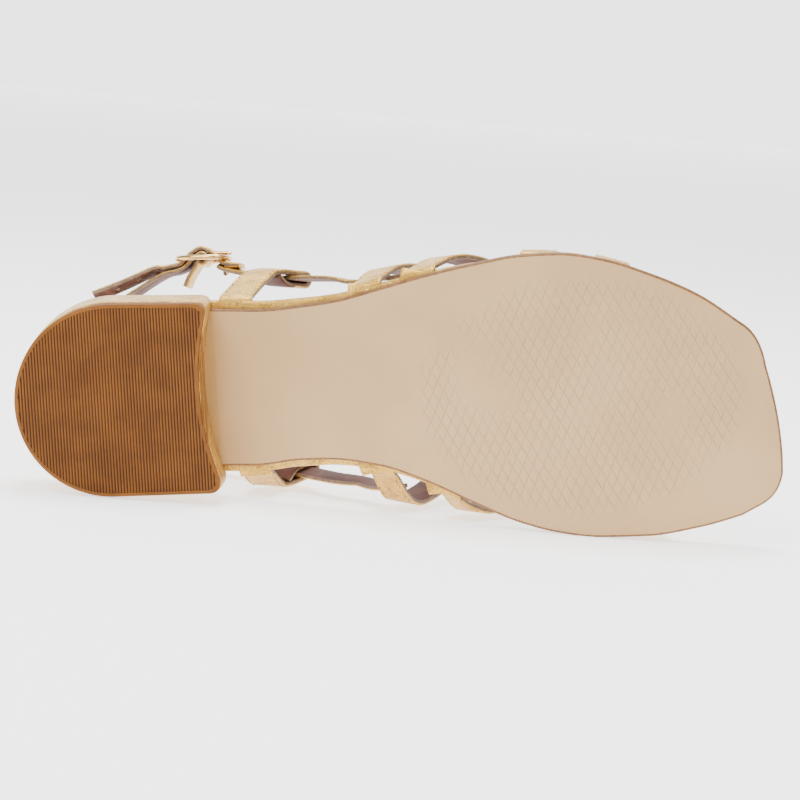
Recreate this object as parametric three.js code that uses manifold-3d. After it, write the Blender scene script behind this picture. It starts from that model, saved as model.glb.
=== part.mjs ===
// Right-foot gladiator sandal with a low block heel, lying empty on its medial side.
// Millimetres, +Z up. The shoe is built standing, then laid down:
//   standing frame: +X heel to toe, +Y medial, -Y lateral, +Z up from the standing plane.
import * as THREE from "three";
import { mergeVertices } from "three/addons/utils/BufferGeometryUtils.js";
import Module from "manifold-3d";

const wasm = await Module();
wasm.setup();

// Driving dimensions of the shoe
const LENGTH = 243; // rear of the heel to the tip of the toe
const BALL_WIDTH = 89; // outsole across the ball
const HEEL_HEIGHT = 25; // standing plane to the seat that the insole rests on
const TOE_SPRING = 4; // lift of the outsole at the toe
const OUTSOLE_THICKNESS = 3;
const OUTSOLE_BEVEL = 0.8;
const INSOLE_THICKNESS = 4;
const INSOLE_BEVEL = 0.9;
const INSOLE_RIM = 2.4; // insole shown beyond the outsole along the waist
const GAP = 0.3; // between pieces that touch
const SLIVER = 0.02; // detail smaller than this is smoothed away

// Heel
const HEEL_WIDTH = 61.6;
const HEEL_SHIFT = 0.4; // middle of the heel's round back, medial of the sole's middle line
const HEEL_FLARE = 0.5; // how much wider the block is at the seat than at the lift
const BREAST_LATERAL = 61; // rear of the heel to its front edge, on the lateral side
const BREAST_MEDIAL = 65.5; // the same on the medial side
const BREAST_HOLLOW = 4.2; // depth of the curved front edge
const LIFT_THICKNESS = 5;
const LIFT_INSET = 0.3; // the rubber lift stands back from the block
const HEEL_TRIM = 2; // raw height of the block over its seat, cut away under the insole
const HEEL_CORNER = 4;
const HEEL_FRONT_LATERAL = 30.6; // middle line to the block's front corner, lateral side
const HEEL_FRONT_MEDIAL = 30.2; // the same on the medial side

// Leather
const LEATHER = 1.7; // folded strap, finished
const TAB_LEATHER = 1; // thinned end under the insole
const STRAP_WIDTH = 10.6;
const ANKLE_STRAP_WIDTH = 8;
const ANKLE_LEATHER = 1.4; // ankle and heel straps
const TAB_LENGTH = 8; // strap end held between insole and outsole
const FOOT_CUT = 1.8 * GAP; // room round a strap's foot in the insole's edge
const LOOP_ROOM = 0.5; // play between a guide loop and the strap inside it

// Last
const INSTEP_HEIGHT = 62; // insole to the top of the last at the waist
const TUCK_HEIGHT = 18; // height over which the last swells from the sole edge to the body
const COLLAR_HEIGHT = 80; // standing plane to the middle of the ankle strap at the heel

// Buckle
const BUCKLE_LENGTH = 19;
const BUCKLE_HEIGHT = 16.5;
const BUCKLE_SQUARENESS = 0.7; // 1 is an ellipse, less is squarer
const BUCKLE_WIRE = 1.8;
const BUCKLE_BAR = 1.6;
const PRONG_WIRE = 1.3;

// Sole and last, in rows from heel to toe.
// along: share of LENGTH. lateral and medial: outsole edge, share of BALL_WIDTH.
// rimLateral and rimMedial: insole beyond the outsole, share of INSOLE_RIM.
// arch: share of HEEL_HEIGHT. spring: share of TOE_SPRING.
// bodyLateral and bodyMedial: widest half of the last, share of BALL_WIDTH.
// crest: height of the last above the insole, share of INSTEP_HEIGHT.
const SECTIONS = [
  {
    along: 0.123, lateral: 0.318, medial: 0.326, rimLateral: 0.72, rimMedial: 0.86,
    arch: 1, spring: 0, bodyLateral: 0.35, bodyMedial: 0.35, crest: 1.1,
  },
  {
    along: 0.263, lateral: 0.299, medial: 0.272, rimLateral: 1, rimMedial: 1,
    arch: 0.94, spring: 0, bodyLateral: 0.36, bodyMedial: 0.36, crest: 1.1,
  },
  {
    along: 0.313, lateral: 0.3, medial: 0.267, rimLateral: 0.96, rimMedial: 1.04,
    arch: 0.85, spring: 0, bodyLateral: 0.37, bodyMedial: 0.37, crest: 1.09,
  },
  {
    along: 0.37, lateral: 0.319, medial: 0.242, rimLateral: 0.8, rimMedial: 1.04,
    arch: 0.69, spring: 0, bodyLateral: 0.385, bodyMedial: 0.37, crest: 1.07,
  },
  {
    along: 0.416, lateral: 0.341, medial: 0.235, rimLateral: 0.66, rimMedial: 0.92,
    arch: 0.55, spring: 0, bodyLateral: 0.4, bodyMedial: 0.372, crest: 1.04,
  },
  {
    along: 0.473, lateral: 0.388, medial: 0.25, rimLateral: 0.46, rimMedial: 0.7,
    arch: 0.365, spring: 0, bodyLateral: 0.425, bodyMedial: 0.392, crest: 0.98,
  },
  {
    along: 0.535, lateral: 0.44, medial: 0.301, rimLateral: 0.2, rimMedial: 0.4,
    arch: 0.195, spring: 0, bodyLateral: 0.465, bodyMedial: 0.418, crest: 0.9,
  },
  {
    along: 0.597, lateral: 0.483, medial: 0.374, rimLateral: -0.1, rimMedial: 0,
    arch: 0.07, spring: 0, bodyLateral: 0.49, bodyMedial: 0.428, crest: 0.79,
  },
  {
    along: 0.658, lateral: 0.514, medial: 0.442, rimLateral: -0.45, rimMedial: -0.6,
    arch: 0.012, spring: 0, bodyLateral: 0.5, bodyMedial: 0.444, crest: 0.67,
  },
  {
    along: 0.708, lateral: 0.52, medial: 0.477, rimLateral: -0.7, rimMedial: -0.95,
    arch: 0, spring: 0, bodyLateral: 0.495, bodyMedial: 0.455, crest: 0.58,
  },
  {
    along: 0.757, lateral: 0.502, medial: 0.493, rimLateral: -0.7, rimMedial: -0.95,
    arch: 0, spring: 0, bodyLateral: 0.478, bodyMedial: 0.46, crest: 0.5,
  },
  {
    along: 0.823, lateral: 0.447, medial: 0.489, rimLateral: -0.7, rimMedial: -0.95,
    arch: 0, spring: 0, bodyLateral: 0.428, bodyMedial: 0.458, crest: 0.41,
  },
  {
    along: 0.885, lateral: 0.374, medial: 0.462, rimLateral: -0.6, rimMedial: -0.6,
    arch: 0, spring: 0.12, bodyLateral: 0.36, bodyMedial: 0.43, crest: 0.34,
  },
  {
    along: 0.947, lateral: 0.262, medial: 0.417, rimLateral: -0.5, rimMedial: -0.5,
    arch: 0, spring: 0.47, bodyLateral: 0.26, bodyMedial: 0.4, crest: 0.28,
  },
  {
    along: 1, lateral: 0.165, medial: 0.36, rimLateral: -0.5, rimMedial: -0.5,
    arch: 0, spring: 1, bodyLateral: 0.16, bodyMedial: 0.36, crest: 0.24,
  },
];
// Squared toe, past the last rows whose edges still run along the foot.
// across is lateral of the middle line, share of BALL_WIDTH.
const TOE = {
  sidesEnd: 0.947,
  lateralCorner: { along: 0.968, across: 0.219 },
  frontLateral: { along: 0.975, across: 0.118 },
  frontPull: { along: 1, across: -0.1 },
  tip: { along: 1, across: -0.27 },
  medialPull: { along: 0.996, across: -0.348 },
  medialCorner: { along: 0.972, across: -0.382 },
};
const CREST_SHIFT = 0.06; // the last's top lies medial of the middle, share of BALL_WIDTH

// Vamp straps: their feet, and how far their top lies ahead of the feet, share of LENGTH
const VAMP_STRAPS = [
  { name: "toe", lateralFoot: 0.772, medialFoot: 0.833, advance: 0.012 },
  { name: "ball", lateralFoot: 0.678, medialFoot: 0.728, advance: 0.036 },
  { name: "frontChevron", lateralFoot: 0.527, medialFoot: 0.563, advance: 0.15 },
  { name: "rearChevron", lateralFoot: 0.457, medialFoot: 0.474, advance: 0.125 },
];
const MEDIAL_SWEEP = 0.85; // less than 1 brings a strap forward sooner on the medial side
// Strap down the middle of the foot. lift over the crossing straps, share of LEATHER
const CENTRE_STRAP = { from: 0.565, to: 0.835, lift: 0.55 };

// Ankle strap, from the inside of the rear chevron to its free end past the buckle.
// The first rows lie inside the last's surface, at a turn over it, share of half a turn.
// across: lateral of the middle line, share of BALL_WIDTH. height: share of COLLAR_HEIGHT.
// lean: how far the strap's upper edge tips inwards, degrees.
// at: what holds the strap there, its guide loop or the buckle's bar.
const ANKLE_STRAP = [
  { along: 0.492, turn: 0.035, lean: 0 },
  { along: 0.466, turn: 0.06, lean: 0 },
  { along: 0.441, turn: 0.085, lean: 4 },
  { along: 0.41, across: 0.388, height: 0.51, lean: 10 },
  { along: 0.345, across: 0.377, height: 0.675, lean: 8, at: "loop" },
  { along: 0.285, across: 0.385, height: 0.83, lean: 6 },
  { along: 0.257, across: 0.401, height: 0.885, lean: 8 },
  { along: 0.228, across: 0.47, height: 0.915, lean: 10, at: "buckle" },
  { along: 0.165, across: 0.39, height: 0.935, lean: 20 },
  { along: 0.12, across: 0.336, height: 0.935, lean: 24 },
  { along: 0.075, across: 0.286, height: 0.925, lean: 26 },
];

// Heel strap, from the inside of the rear chevron round the heel to the buckle's bar.
const HEEL_STRAP = [
  { along: 0.497, turn: 0.965, lean: 0 },
  { along: 0.474, turn: 0.94, lean: 0 },
  { along: 0.449, turn: 0.91, lean: 6 },
  { along: 0.415, across: -0.35, height: 0.49, lean: 10 },
  { along: 0.355, across: -0.343, height: 0.66, lean: 10, at: "loop" },
  { along: 0.28, across: -0.345, height: 0.82, lean: 12 },
  { along: 0.19, across: -0.335, height: 0.93, lean: 14 },
  { along: 0.1, across: -0.27, height: 0.985, lean: 14 },
  { along: 0.045, across: -0.13, height: 1, lean: 14 },
  { along: 0.032, across: 0.02, height: 1, lean: 14 },
  { along: 0.06, across: 0.17, height: 0.99, lean: 16 },
  { along: 0.12, across: 0.275, height: 0.965, lean: 18 },
];
// Straps through the buckle, square to its bar: run to the rear, out from the ring, millimetres
const UNDER_RING = [
  { run: -13, out: -2.6 },
  { run: -9, out: -2.1 },
  { run: -7.2, out: -1.75 },
  { run: -5.8, out: -0.3 },
  { run: -3.8, out: 1.7 },
  { run: 0, out: 3.5 },
  { run: 3.8, out: 1.7 },
  { run: 5.8, out: -0.3 },
  { run: 7.2, out: -1.75 },
  { run: 9, out: -2.1 },
  { run: 13, out: -2.8 },
];
const TO_BAR = [
  { run: 13, out: -5 },
  { run: 8.4, out: -4 },
  { run: 5.4, out: -2.6 },
  { run: 3.3, out: -0.4 },
];
const FROM_BAR = [
  { run: 2.6, out: -3.4 },
  { run: 4.4, out: -6.2 },
  { run: 5.8, out: -9.4 },
];

const LOOP_FEET = { lateral: 0.284, medial: 0.31 }; // guide loops at the insole, share of LENGTH
const LOOP_SLANT = 0.1; // how far their feet move to the toe for each millimetre up

// Value of a column of SECTIONS at a place along the foot, smooth and without overshoot
function columnAt(column, along) {
  const rows = SECTIONS;
  const slope = (i) =>
    (rows[i + 1][column] - rows[i][column]) / (rows[i + 1].along - rows[i].along);
  const tangent = (i) => {
    if (i === 0) return slope(0);
    if (i === rows.length - 1) return slope(i - 1);
    const [before, after] = [slope(i - 1), slope(i)];
    return before * after <= 0 ? 0 : (2 * before * after) / (before + after);
  };
  let i = rows.findIndex((row) => row.along > along) - 1;
  if (i === -2) i = rows.length - 2;
  if (i < 0) return rows[0][column];
  const span = rows[i + 1].along - rows[i].along;
  const t = Math.min((along - rows[i].along) / span, 1);
  const [t2, t3] = [t * t, t * t * t];
  return (
    rows[i][column] * (2 * t3 - 3 * t2 + 1) +
    rows[i + 1][column] * (3 * t2 - 2 * t3) +
    tangent(i) * span * (t3 - 2 * t2 + t) +
    tangent(i + 1) * span * (t3 - t2)
  );
}

// Underside of the insole above the standing plane; the outsole hangs a gap below it
function seatHeight(along) {
  const lowest = OUTSOLE_THICKNESS + GAP;
  return (
    lowest +
    columnAt("arch", along) * (HEEL_HEIGHT - lowest) +
    columnAt("spring", along) * TOE_SPRING
  );
}

// Half width of a sole layer; side is 1 on the lateral side and -1 on the medial side
function edgeWidth(side, along, rimShare) {
  const name = side > 0 ? "Lateral" : "Medial";
  return (
    columnAt(name.toLowerCase(), along) * BALL_WIDTH +
    rimShare * columnAt("rim" + name, along) * INSOLE_RIM
  );
}

const outsoleEdge = (side, along) => edgeWidth(side, along, 0);
const insoleEdge = (side, along) => edgeWidth(side, along, 1);

// Matched points of a sole layer's two sides, from the rear to the shared tip of the toe.
// Each point is { along in mm, across in mm, lateral positive }.
function soleSides(edge, rear, inset, steps, cornerSteps) {
  const side = (sign) => {
    const points = [...rear(sign)];
    const first = points[points.length - 1].along / LENGTH;
    for (let i = 1; i <= steps; i++) {
      const along = first + ((TOE.sidesEnd - first) * i) / steps;
      points.push({ along: along * LENGTH, across: sign * edge(sign, along) });
    }
    const place = (point) =>
      new THREE.Vector2(
        point.along * LENGTH - inset,
        point.across * BALL_WIDTH - inset * Math.sign(point.across - TOE.tip.across),
      );
    const start = new THREE.Vector2(
      points[points.length - 1].along,
      points[points.length - 1].across,
    );
    const bends =
      sign > 0
        ? [
            [start, place(TOE.lateralCorner), place(TOE.frontLateral)],
            [place(TOE.frontLateral), place(TOE.frontPull), place(TOE.tip)],
          ]
        : [
            [start, start.clone().lerp(place(TOE.medialCorner), 0.5), place(TOE.medialCorner)],
            [place(TOE.medialCorner), place(TOE.medialPull), place(TOE.tip)],
          ];
    for (const [from, pull, to] of bends) {
      const bend = new THREE.QuadraticBezierCurve(from, pull, to);
      for (let i = 1; i <= cornerSteps; i++) {
        const point = bend.getPoint(i / cornerSteps);
        points.push({ along: point.x, across: point.y });
      }
    }
    return points;
  };
  return { lateral: side(1), medial: side(-1) };
}

// Quarter turn round the back of the heel seat, from its rear point to its widest place
function heelQuarter(radiusAcross, radiusAlong, steps) {
  return (sign) =>
    Array.from({ length: steps + 1 }, (_, i) => {
      const turn = ((Math.PI / 2) * i) / steps;
      return {
        along: HEEL_WIDTH / 2 - radiusAlong * Math.cos(turn),
        across: sign * radiusAcross(sign) * Math.sin(turn),
      };
    });
}

// A closed mesh from rings of points, the first and last ring closed by strips of their two sides
function strippedSolid(rings, sideCount, sharedRear) {
  const positions = rings.flat().flatMap((p) => [p.x, p.y, p.z]);
  const size = rings[0].length;
  const index = [];
  for (let r = 0; r + 1 < rings.length; r++)
    for (let i = 0; i < size; i++) {
      const [a, b] = [r * size + i, r * size + ((i + 1) % size)];
      index.push(a, b, b + size, a, b + size, a + size);
    }
  const lid = (base, flip) => {
    const push = (a, b, c) => {
      const corners = flip ? [c, b, a] : [a, b, c];
      index.push(...corners.map((corner) => base + corner));
    };
    const opposite = (i) => (sharedRear ? (size - i) % size : size - 1 - i);
    for (let i = 0; i + 1 < sideCount; i++) {
      const [a, b, c, d] = [i, i + 1, opposite(i + 1), opposite(i)];
      if (a !== d) push(a, d, b);
      if (b !== c) push(b, d, c);
    }
  };
  lid(0, false);
  lid((rings.length - 1) * size, true);
  const geometry = new THREE.BufferGeometry();
  geometry.setAttribute("position", new THREE.Float32BufferAttribute(positions, 3));
  geometry.setIndex(index);
  return solidFrom(geometry);
}

// manifold-3d solid of a closed geometry
function solidFrom(geometry) {
  const bare = geometry.clone();
  bare.deleteAttribute("normal");
  bare.deleteAttribute("uv");
  const merged = mergeVertices(bare, 1e-4);
  const solid = new wasm.Manifold(
    new wasm.Mesh({
      numProp: 3,
      vertProperties: merged.attributes.position.array,
      triVerts: new Uint32Array(merged.index.array),
    }),
  );
  return solid;
}

// Geometry of a solid, without the slivers that cuts leave
function geometryFrom(solid) {
  const mesh = solid.simplify(SLIVER).getMesh();
  const geometry = new THREE.BufferGeometry();
  geometry.setAttribute("position", new THREE.Float32BufferAttribute(mesh.vertProperties, 3));
  geometry.setIndex([...mesh.triVerts]);
  const flat = geometry.toNonIndexed();
  flat.computeVertexNormals();
  return flat;
}

// Sole layer between two heights above its own underside, its edges inset by bevels
function soleLayer({ sides, sharedRear, levels, heightAt }) {
  const { lateral, medial } = sides;
  const back = medial.slice(sharedRear ? 1 : 0, -1).reverse();
  const outline = [...lateral, ...back];
  const rings = levels.map(({ rise, inset }) =>
    insetOutline(outline, inset).map(({ along, across }) => {
      const height = heightAt(along / LENGTH) + rise;
      return new THREE.Vector3(along, -across, height);
    }),
  );
  return strippedSolid(rings, lateral.length, sharedRear);
}

// Outline moved inwards by a distance, square to its own direction
function insetOutline(outline, inset) {
  const count = outline.length;
  return outline.map((point, i) => {
    const before = outline[(i + count - 1) % count];
    const after = outline[(i + 1) % count];
    const [dx, dy] = [after.along - before.along, after.across - before.across];
    const share = inset / (Math.hypot(dx, dy) || 1);
    return { along: point.along + dy * share, across: point.across - dx * share };
  });
}

// Last surface above the insole. turn is 0 at the lateral edge and PI at the medial edge.
function lastPoint(along, turn) {
  const side = turn < Math.PI / 2 ? 1 : -1;
  const crestAcross = -CREST_SHIFT * BALL_WIDTH;
  const [cos, sin] = [Math.abs(Math.cos(turn)), Math.max(Math.sin(turn), 0)];
  const body = columnAt(side > 0 ? "bodyLateral" : "bodyMedial", along) * BALL_WIDTH;
  const rise = columnAt("crest", along) * INSTEP_HEIGHT * sin ** 0.92;
  const tuck = (body - insoleEdge(side, along)) * Math.max(0, 1 - rise / TUCK_HEIGHT) ** 2;
  const across = crestAcross + side * ((body - side * crestAcross) * cos ** 0.82 - tuck);
  return new THREE.Vector3(
    along * LENGTH,
    -across,
    seatHeight(along) + INSOLE_THICKNESS + rise,
  );
}

// Ribbon with a flat section: frames hold its middle, its width direction and its two sizes
function ribbonSolid(frames) {
  const positions = [];
  frames.forEach(({ middle, across, width, thickness }, i) => {
    const before = frames[Math.max(i - 1, 0)].middle;
    const after = frames[Math.min(i + 1, frames.length - 1)].middle;
    const forward = after.clone().sub(before).normalize();
    const sideways = across.clone().addScaledVector(forward, -across.dot(forward)).normalize();
    const out = new THREE.Vector3().crossVectors(sideways, forward).normalize();
    for (const [s, n] of [[-1, -1], [1, -1], [1, 1], [-1, 1]]) {
      const corner = middle
        .clone()
        .addScaledVector(sideways, (s * width) / 2)
        .addScaledVector(out, (n * thickness) / 2);
      positions.push(corner.x, corner.y, corner.z);
    }
  });
  const index = [];
  for (let i = 0; i + 1 < frames.length; i++)
    for (let k = 0; k < 4; k++) {
      const [a, b] = [4 * i + k, 4 * i + ((k + 1) % 4)];
      index.push(a, b, b + 4, a, b + 4, a + 4);
    }
  const end = 4 * (frames.length - 1);
  index.push(0, 2, 1, 0, 3, 2, end, end + 1, end + 2, end, end + 2, end + 3);
  const geometry = new THREE.BufferGeometry();
  geometry.setAttribute("position", new THREE.Float32BufferAttribute(positions, 3));
  geometry.setIndex(index);
  return facingOut(geometry);
}

// Solid of a closed geometry whose faces may all point inwards
function facingOut(geometry) {
  const solid = solidFrom(geometry);
  if (solid.volume() > 0) return solid;
  geometry.setIndex([...geometry.index.array].reverse());
  return solidFrom(geometry);
}

// Smooth frames through hand-placed ones
function smoothFrames(keys, steps) {
  const middles = new THREE.CatmullRomCurve3(keys.map((key) => key.middle));
  const sides = new THREE.CatmullRomCurve3(keys.map((key) => key.across), false, "catmullrom", 0.3);
  const sizes = (name, t) => {
    const place = t * (keys.length - 1);
    const i = Math.min(Math.floor(place), keys.length - 2);
    return THREE.MathUtils.lerp(keys[i][name], keys[i + 1][name], place - i);
  };
  return Array.from({ length: steps + 1 }, (_, i) => {
    const t = i / steps;
    return {
      middle: middles.getPoint(t),
      across: sides.getPoint(t).normalize(),
      width: sizes("width", t),
      thickness: sizes("thickness", t),
    };
  });
}

// Outward direction square to the insole's edge, in plan
function edgeOutward(side, along) {
  const step = 0.01;
  const slope =
    (insoleEdge(side, along + step) - insoleEdge(side, along - step)) / (2 * step * LENGTH);
  return new THREE.Vector3(-slope, -side, 0).normalize();
}

// A strap's foot, from its thinned end under the insole, round the insole's edge and up.
// out: beyond the insole's edge, share of the strap's middle line outside it.
// rise: above the insole's underside, share of INSOLE_THICKNESS. thickness: share of LEATHER.
// length: along the strap from the edge, millimetres. tip: 0 faces down, 1 faces outwards.
const FOOT = [
  { out: -TAB_LENGTH, rise: 0.125, length: -TAB_LENGTH - 2, thickness: TAB_LEATHER / LEATHER, tip: 0 },
  { out: -1.6, rise: 0.125, length: -3.4, thickness: TAB_LEATHER / LEATHER, tip: 0 },
  { out: -0.3, rise: 0.14, length: -2.2, thickness: TAB_LEATHER / LEATHER, tip: 0.26 },
  { out: 0.65, rise: 0.2125, length: -1.1, thickness: 0.75, tip: 0.5 },
  { out: 1, rise: 0.5, length: 0, thickness: 1, tip: 1 },
  { out: 1, rise: 0.9, length: 1.9, thickness: 1, tip: 1 },
];

// Frames of a strap's foot. slant is how far the strap moves along the shoe for each
// millimetre of its own length.
function footFrames(side, along, slant, grow) {
  const beside = GAP + LEATHER / 2;
  const down = new THREE.Vector3(0, 0, -1);
  return FOOT.map(({ out, rise, length, thickness, tip }, i) => {
    const place = along + (slant * length) / LENGTH;
    const outward = edgeOutward(side, place);
    const edge = side * insoleEdge(side, place);
    const height = seatHeight(place) + rise * INSOLE_THICKNESS;
    const reach = (out < 0 ? out : out * beside) - (i === 0 ? 2 * grow : 0);
    return {
      middle: new THREE.Vector3(place * LENGTH, -edge, height).addScaledVector(outward, reach),
      facing: down.clone().lerp(outward, tip),
      width: STRAP_WIDTH + 2 * grow,
      thickness: thickness * LEATHER + 2 * grow,
    };
  });
}

// Width direction of each frame, from the direction that it faces
function faceFrames(frames) {
  return frames.map((frame, i) => {
    const before = frames[Math.max(i - 1, 0)].middle;
    const after = frames[Math.min(i + 1, frames.length - 1)].middle;
    const forward = after.clone().sub(before).normalize();
    const across = new THREE.Vector3().crossVectors(forward, frame.facing).normalize();
    return { ...frame, across };
  });
}

// Frames of a vamp strap over the last, from one foot to the other
function vampFrames({ lateralFoot, medialFoot, advance }, grow = 0) {
  const half = LEATHER / 2 + GAP;
  const overSteps = 26;
  const firstTurn = 0.05 * Math.PI;
  const alongAt = (turn) => {
    const ahead = Math.sin(turn) ** (turn > Math.PI / 2 ? MEDIAL_SWEEP : 1);
    return THREE.MathUtils.lerp(lateralFoot, medialFoot, turn / Math.PI) + advance * ahead;
  };
  const over = Array.from({ length: overSteps + 1 }, (_, i) => {
    const turn = THREE.MathUtils.lerp(firstTurn, Math.PI - firstTurn, i / overSteps);
    const along = alongAt(turn);
    const facing = lastFacing(along, turn);
    const middle = lastPoint(along, turn).addScaledVector(facing, half);
    return { middle, facing, width: STRAP_WIDTH + 2 * grow, thickness: LEATHER + 2 * grow };
  });
  const foot = (side, footAlong) => {
    const turn = side > 0 ? firstTurn : Math.PI - firstTurn;
    const first = lastPoint(alongAt(turn), turn);
    const rise = first.z - seatHeight(footAlong);
    return footFrames(side, footAlong, (first.x - footAlong * LENGTH) / rise, grow);
  };
  return faceFrames([...foot(1, lateralFoot), ...over, ...foot(-1, medialFoot).reverse()]);
}

// Outward direction of the last's surface
function lastFacing(along, turn) {
  const step = 0.02;
  const low = Math.max(turn - step, 0.001);
  const high = Math.min(turn + step, Math.PI - 0.001);
  const round = lastPoint(along, high).sub(lastPoint(along, low));
  const forward = lastPoint(along + step, turn).sub(lastPoint(along - step, turn));
  return new THREE.Vector3().crossVectors(forward, round).normalize();
}

// The whole upper's front: crossing straps and the strap down the middle, joined where they cross
function vampSolid() {
  const crossing = VAMP_STRAPS.map((strap) => ribbonSolid(vampFrames(strap)));
  const joined = crossing.reduce((sum, strap) => sum.add(strap)).add(centreStrapSolid());
  return trimmedStrap(joined);
}

function centreStrapSolid() {
  const steps = 18;
  const frames = Array.from({ length: steps + 1 }, (_, i) => {
    const along = THREE.MathUtils.lerp(CENTRE_STRAP.from, CENTRE_STRAP.to, i / steps);
    const facing = lastFacing(along, Math.PI / 2);
    const middle = lastPoint(along, Math.PI / 2).addScaledVector(
      facing,
      LEATHER / 2 + GAP + CENTRE_STRAP.lift * LEATHER,
    );
    return { middle, facing, width: STRAP_WIDTH, thickness: LEATHER };
  });
  return ribbonSolid(faceFrames(frames));
}

// Ankle and heel strap rows as keys: the strap faces away from the leg's axis and leans
function strapKeys(rows, width) {
  const middles = rows.map((row) =>
    row.turn === undefined
      ? new THREE.Vector3(row.along * LENGTH, -row.across * BALL_WIDTH, row.height * COLLAR_HEIGHT)
      : lastPoint(row.along, row.turn * Math.PI).addScaledVector(
          lastFacing(row.along, row.turn * Math.PI),
          -ANKLE_LEATHER / 2 - 2 * GAP,
        ),
  );
  const legAxis = new THREE.Vector3(0.2 * LENGTH, 0, 0);
  return rows.map((row, i) => {
    const before = middles[Math.max(i - 1, 0)];
    const after = middles[Math.min(i + 1, rows.length - 1)];
    const forward = after.clone().sub(before).normalize();
    const away = middles[i].clone().sub(legAxis).setZ(0);
    if (row.along * LENGTH > legAxis.x) away.setX(0);
    away.addScaledVector(forward, -away.dot(forward)).normalize();
    const across = new THREE.Vector3().crossVectors(forward, away).normalize();
    if (across.z < 0) across.negate();
    const lean = THREE.MathUtils.degToRad(row.lean);
    across.multiplyScalar(Math.cos(lean)).addScaledVector(away, -Math.sin(lean));
    return { middle: middles[i], across, facing: away, forward, width, thickness: ANKLE_LEATHER };
  });
}

const ankleKeys = strapKeys(ANKLE_STRAP, ANKLE_STRAP_WIDTH);
const heelKeys = strapKeys(HEEL_STRAP, ANKLE_STRAP_WIDTH);
const buckleRow = ANKLE_STRAP.findIndex((row) => row.at === "buckle");

// Buckle frame of reference: its middle, the strap's run, its height and its outward side
function buckleAxes() {
  const { middle, across, forward } = ankleKeys[buckleRow];
  const run = forward.clone().normalize();
  const up = across.clone().addScaledVector(run, -across.dot(run)).normalize();
  const out = new THREE.Vector3().crossVectors(up, run).normalize();
  if (out.y > 0) out.negate();
  const overBar = UNDER_RING.find((point) => point.run === 0).out;
  return { centre: middle.clone().addScaledVector(out, -overBar), run, up, out };
}

const buckle = buckleAxes();

const atBuckle = (run, up, out) =>
  buckle.centre
    .clone()
    .addScaledVector(buckle.run, run)
    .addScaledVector(buckle.up, up)
    .addScaledVector(buckle.out, out);

const buckleKey = ({ run, out }) => ({
  middle: atBuckle(run, 0, out),
  across: buckle.up,
  width: ANKLE_STRAP_WIDTH,
  thickness: ANKLE_LEATHER,
});

// Ankle strap, under the ring on both sides of the bar and over the bar between
function ankleStrapSolid() {
  const keys = [
    ...ankleKeys.slice(0, buckleRow),
    ...UNDER_RING.map(buckleKey),
    ...ankleKeys.slice(buckleRow + 1),
  ];
  return clearOfBuckle(ribbonSolid(smoothFrames(keys, 90)));
}

// Heel strap, folded round the bar and laid back on its inner side
function heelStrapSolid() {
  const wrap = (BUCKLE_BAR + ANKLE_LEATHER) / 2 + GAP;
  const turns = 7;
  const fold = Array.from({ length: turns + 1 }, (_, i) => {
    const turn = THREE.MathUtils.degToRad(THREE.MathUtils.lerp(48, 312, i / turns));
    return { run: wrap * Math.cos(turn), out: wrap * Math.sin(turn) };
  });
  const keys = [...heelKeys, ...[...TO_BAR, ...fold, ...FROM_BAR].map(buckleKey)];
  return clearOfBuckle(ribbonSolid(smoothFrames(keys, 120)));
}

// A strap cut clear of the ring, the prong and the vamp straps that it starts behind
function clearOfBuckle(strap) {
  const chevrons = VAMP_STRAPS.filter((row) => row.name.endsWith("Chevron"));
  const cutters = [
    prongSolid(GAP),
    buckleSolid(GAP),
    ...chevrons.map((row) => ribbonSolid(vampFrames(row, GAP))),
  ];
  return largestBody(cutters.reduce((left, cutter) => left.subtract(cutter), strap));
}

// Prong: a hoop round the bar and a pin through both straps to the ring's front
function prongSolid(grow) {
  const hoop = (BUCKLE_BAR + PRONG_WIRE) / 2 + GAP;
  const start = -150 - THREE.MathUtils.radToDeg(grow / hoop);
  const turns = 6;
  const round = Array.from({ length: turns + 1 }, (_, i) => {
    const turn = THREE.MathUtils.degToRad(THREE.MathUtils.lerp(start, 110, i / turns));
    return atBuckle(hoop * Math.cos(turn), 0, hoop * Math.sin(turn));
  });
  const rest = (BUCKLE_WIRE + PRONG_WIRE) / 2 + GAP;
  const front = -(BUCKLE_LENGTH - BUCKLE_WIRE) / 2;
  const pin = [atBuckle(front * 0.45, 0, rest), atBuckle(front - 1 - grow, 0, rest)];
  return tubeSolid([...round, ...pin], PRONG_WIRE / 2 + grow, 30);
}

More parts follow.
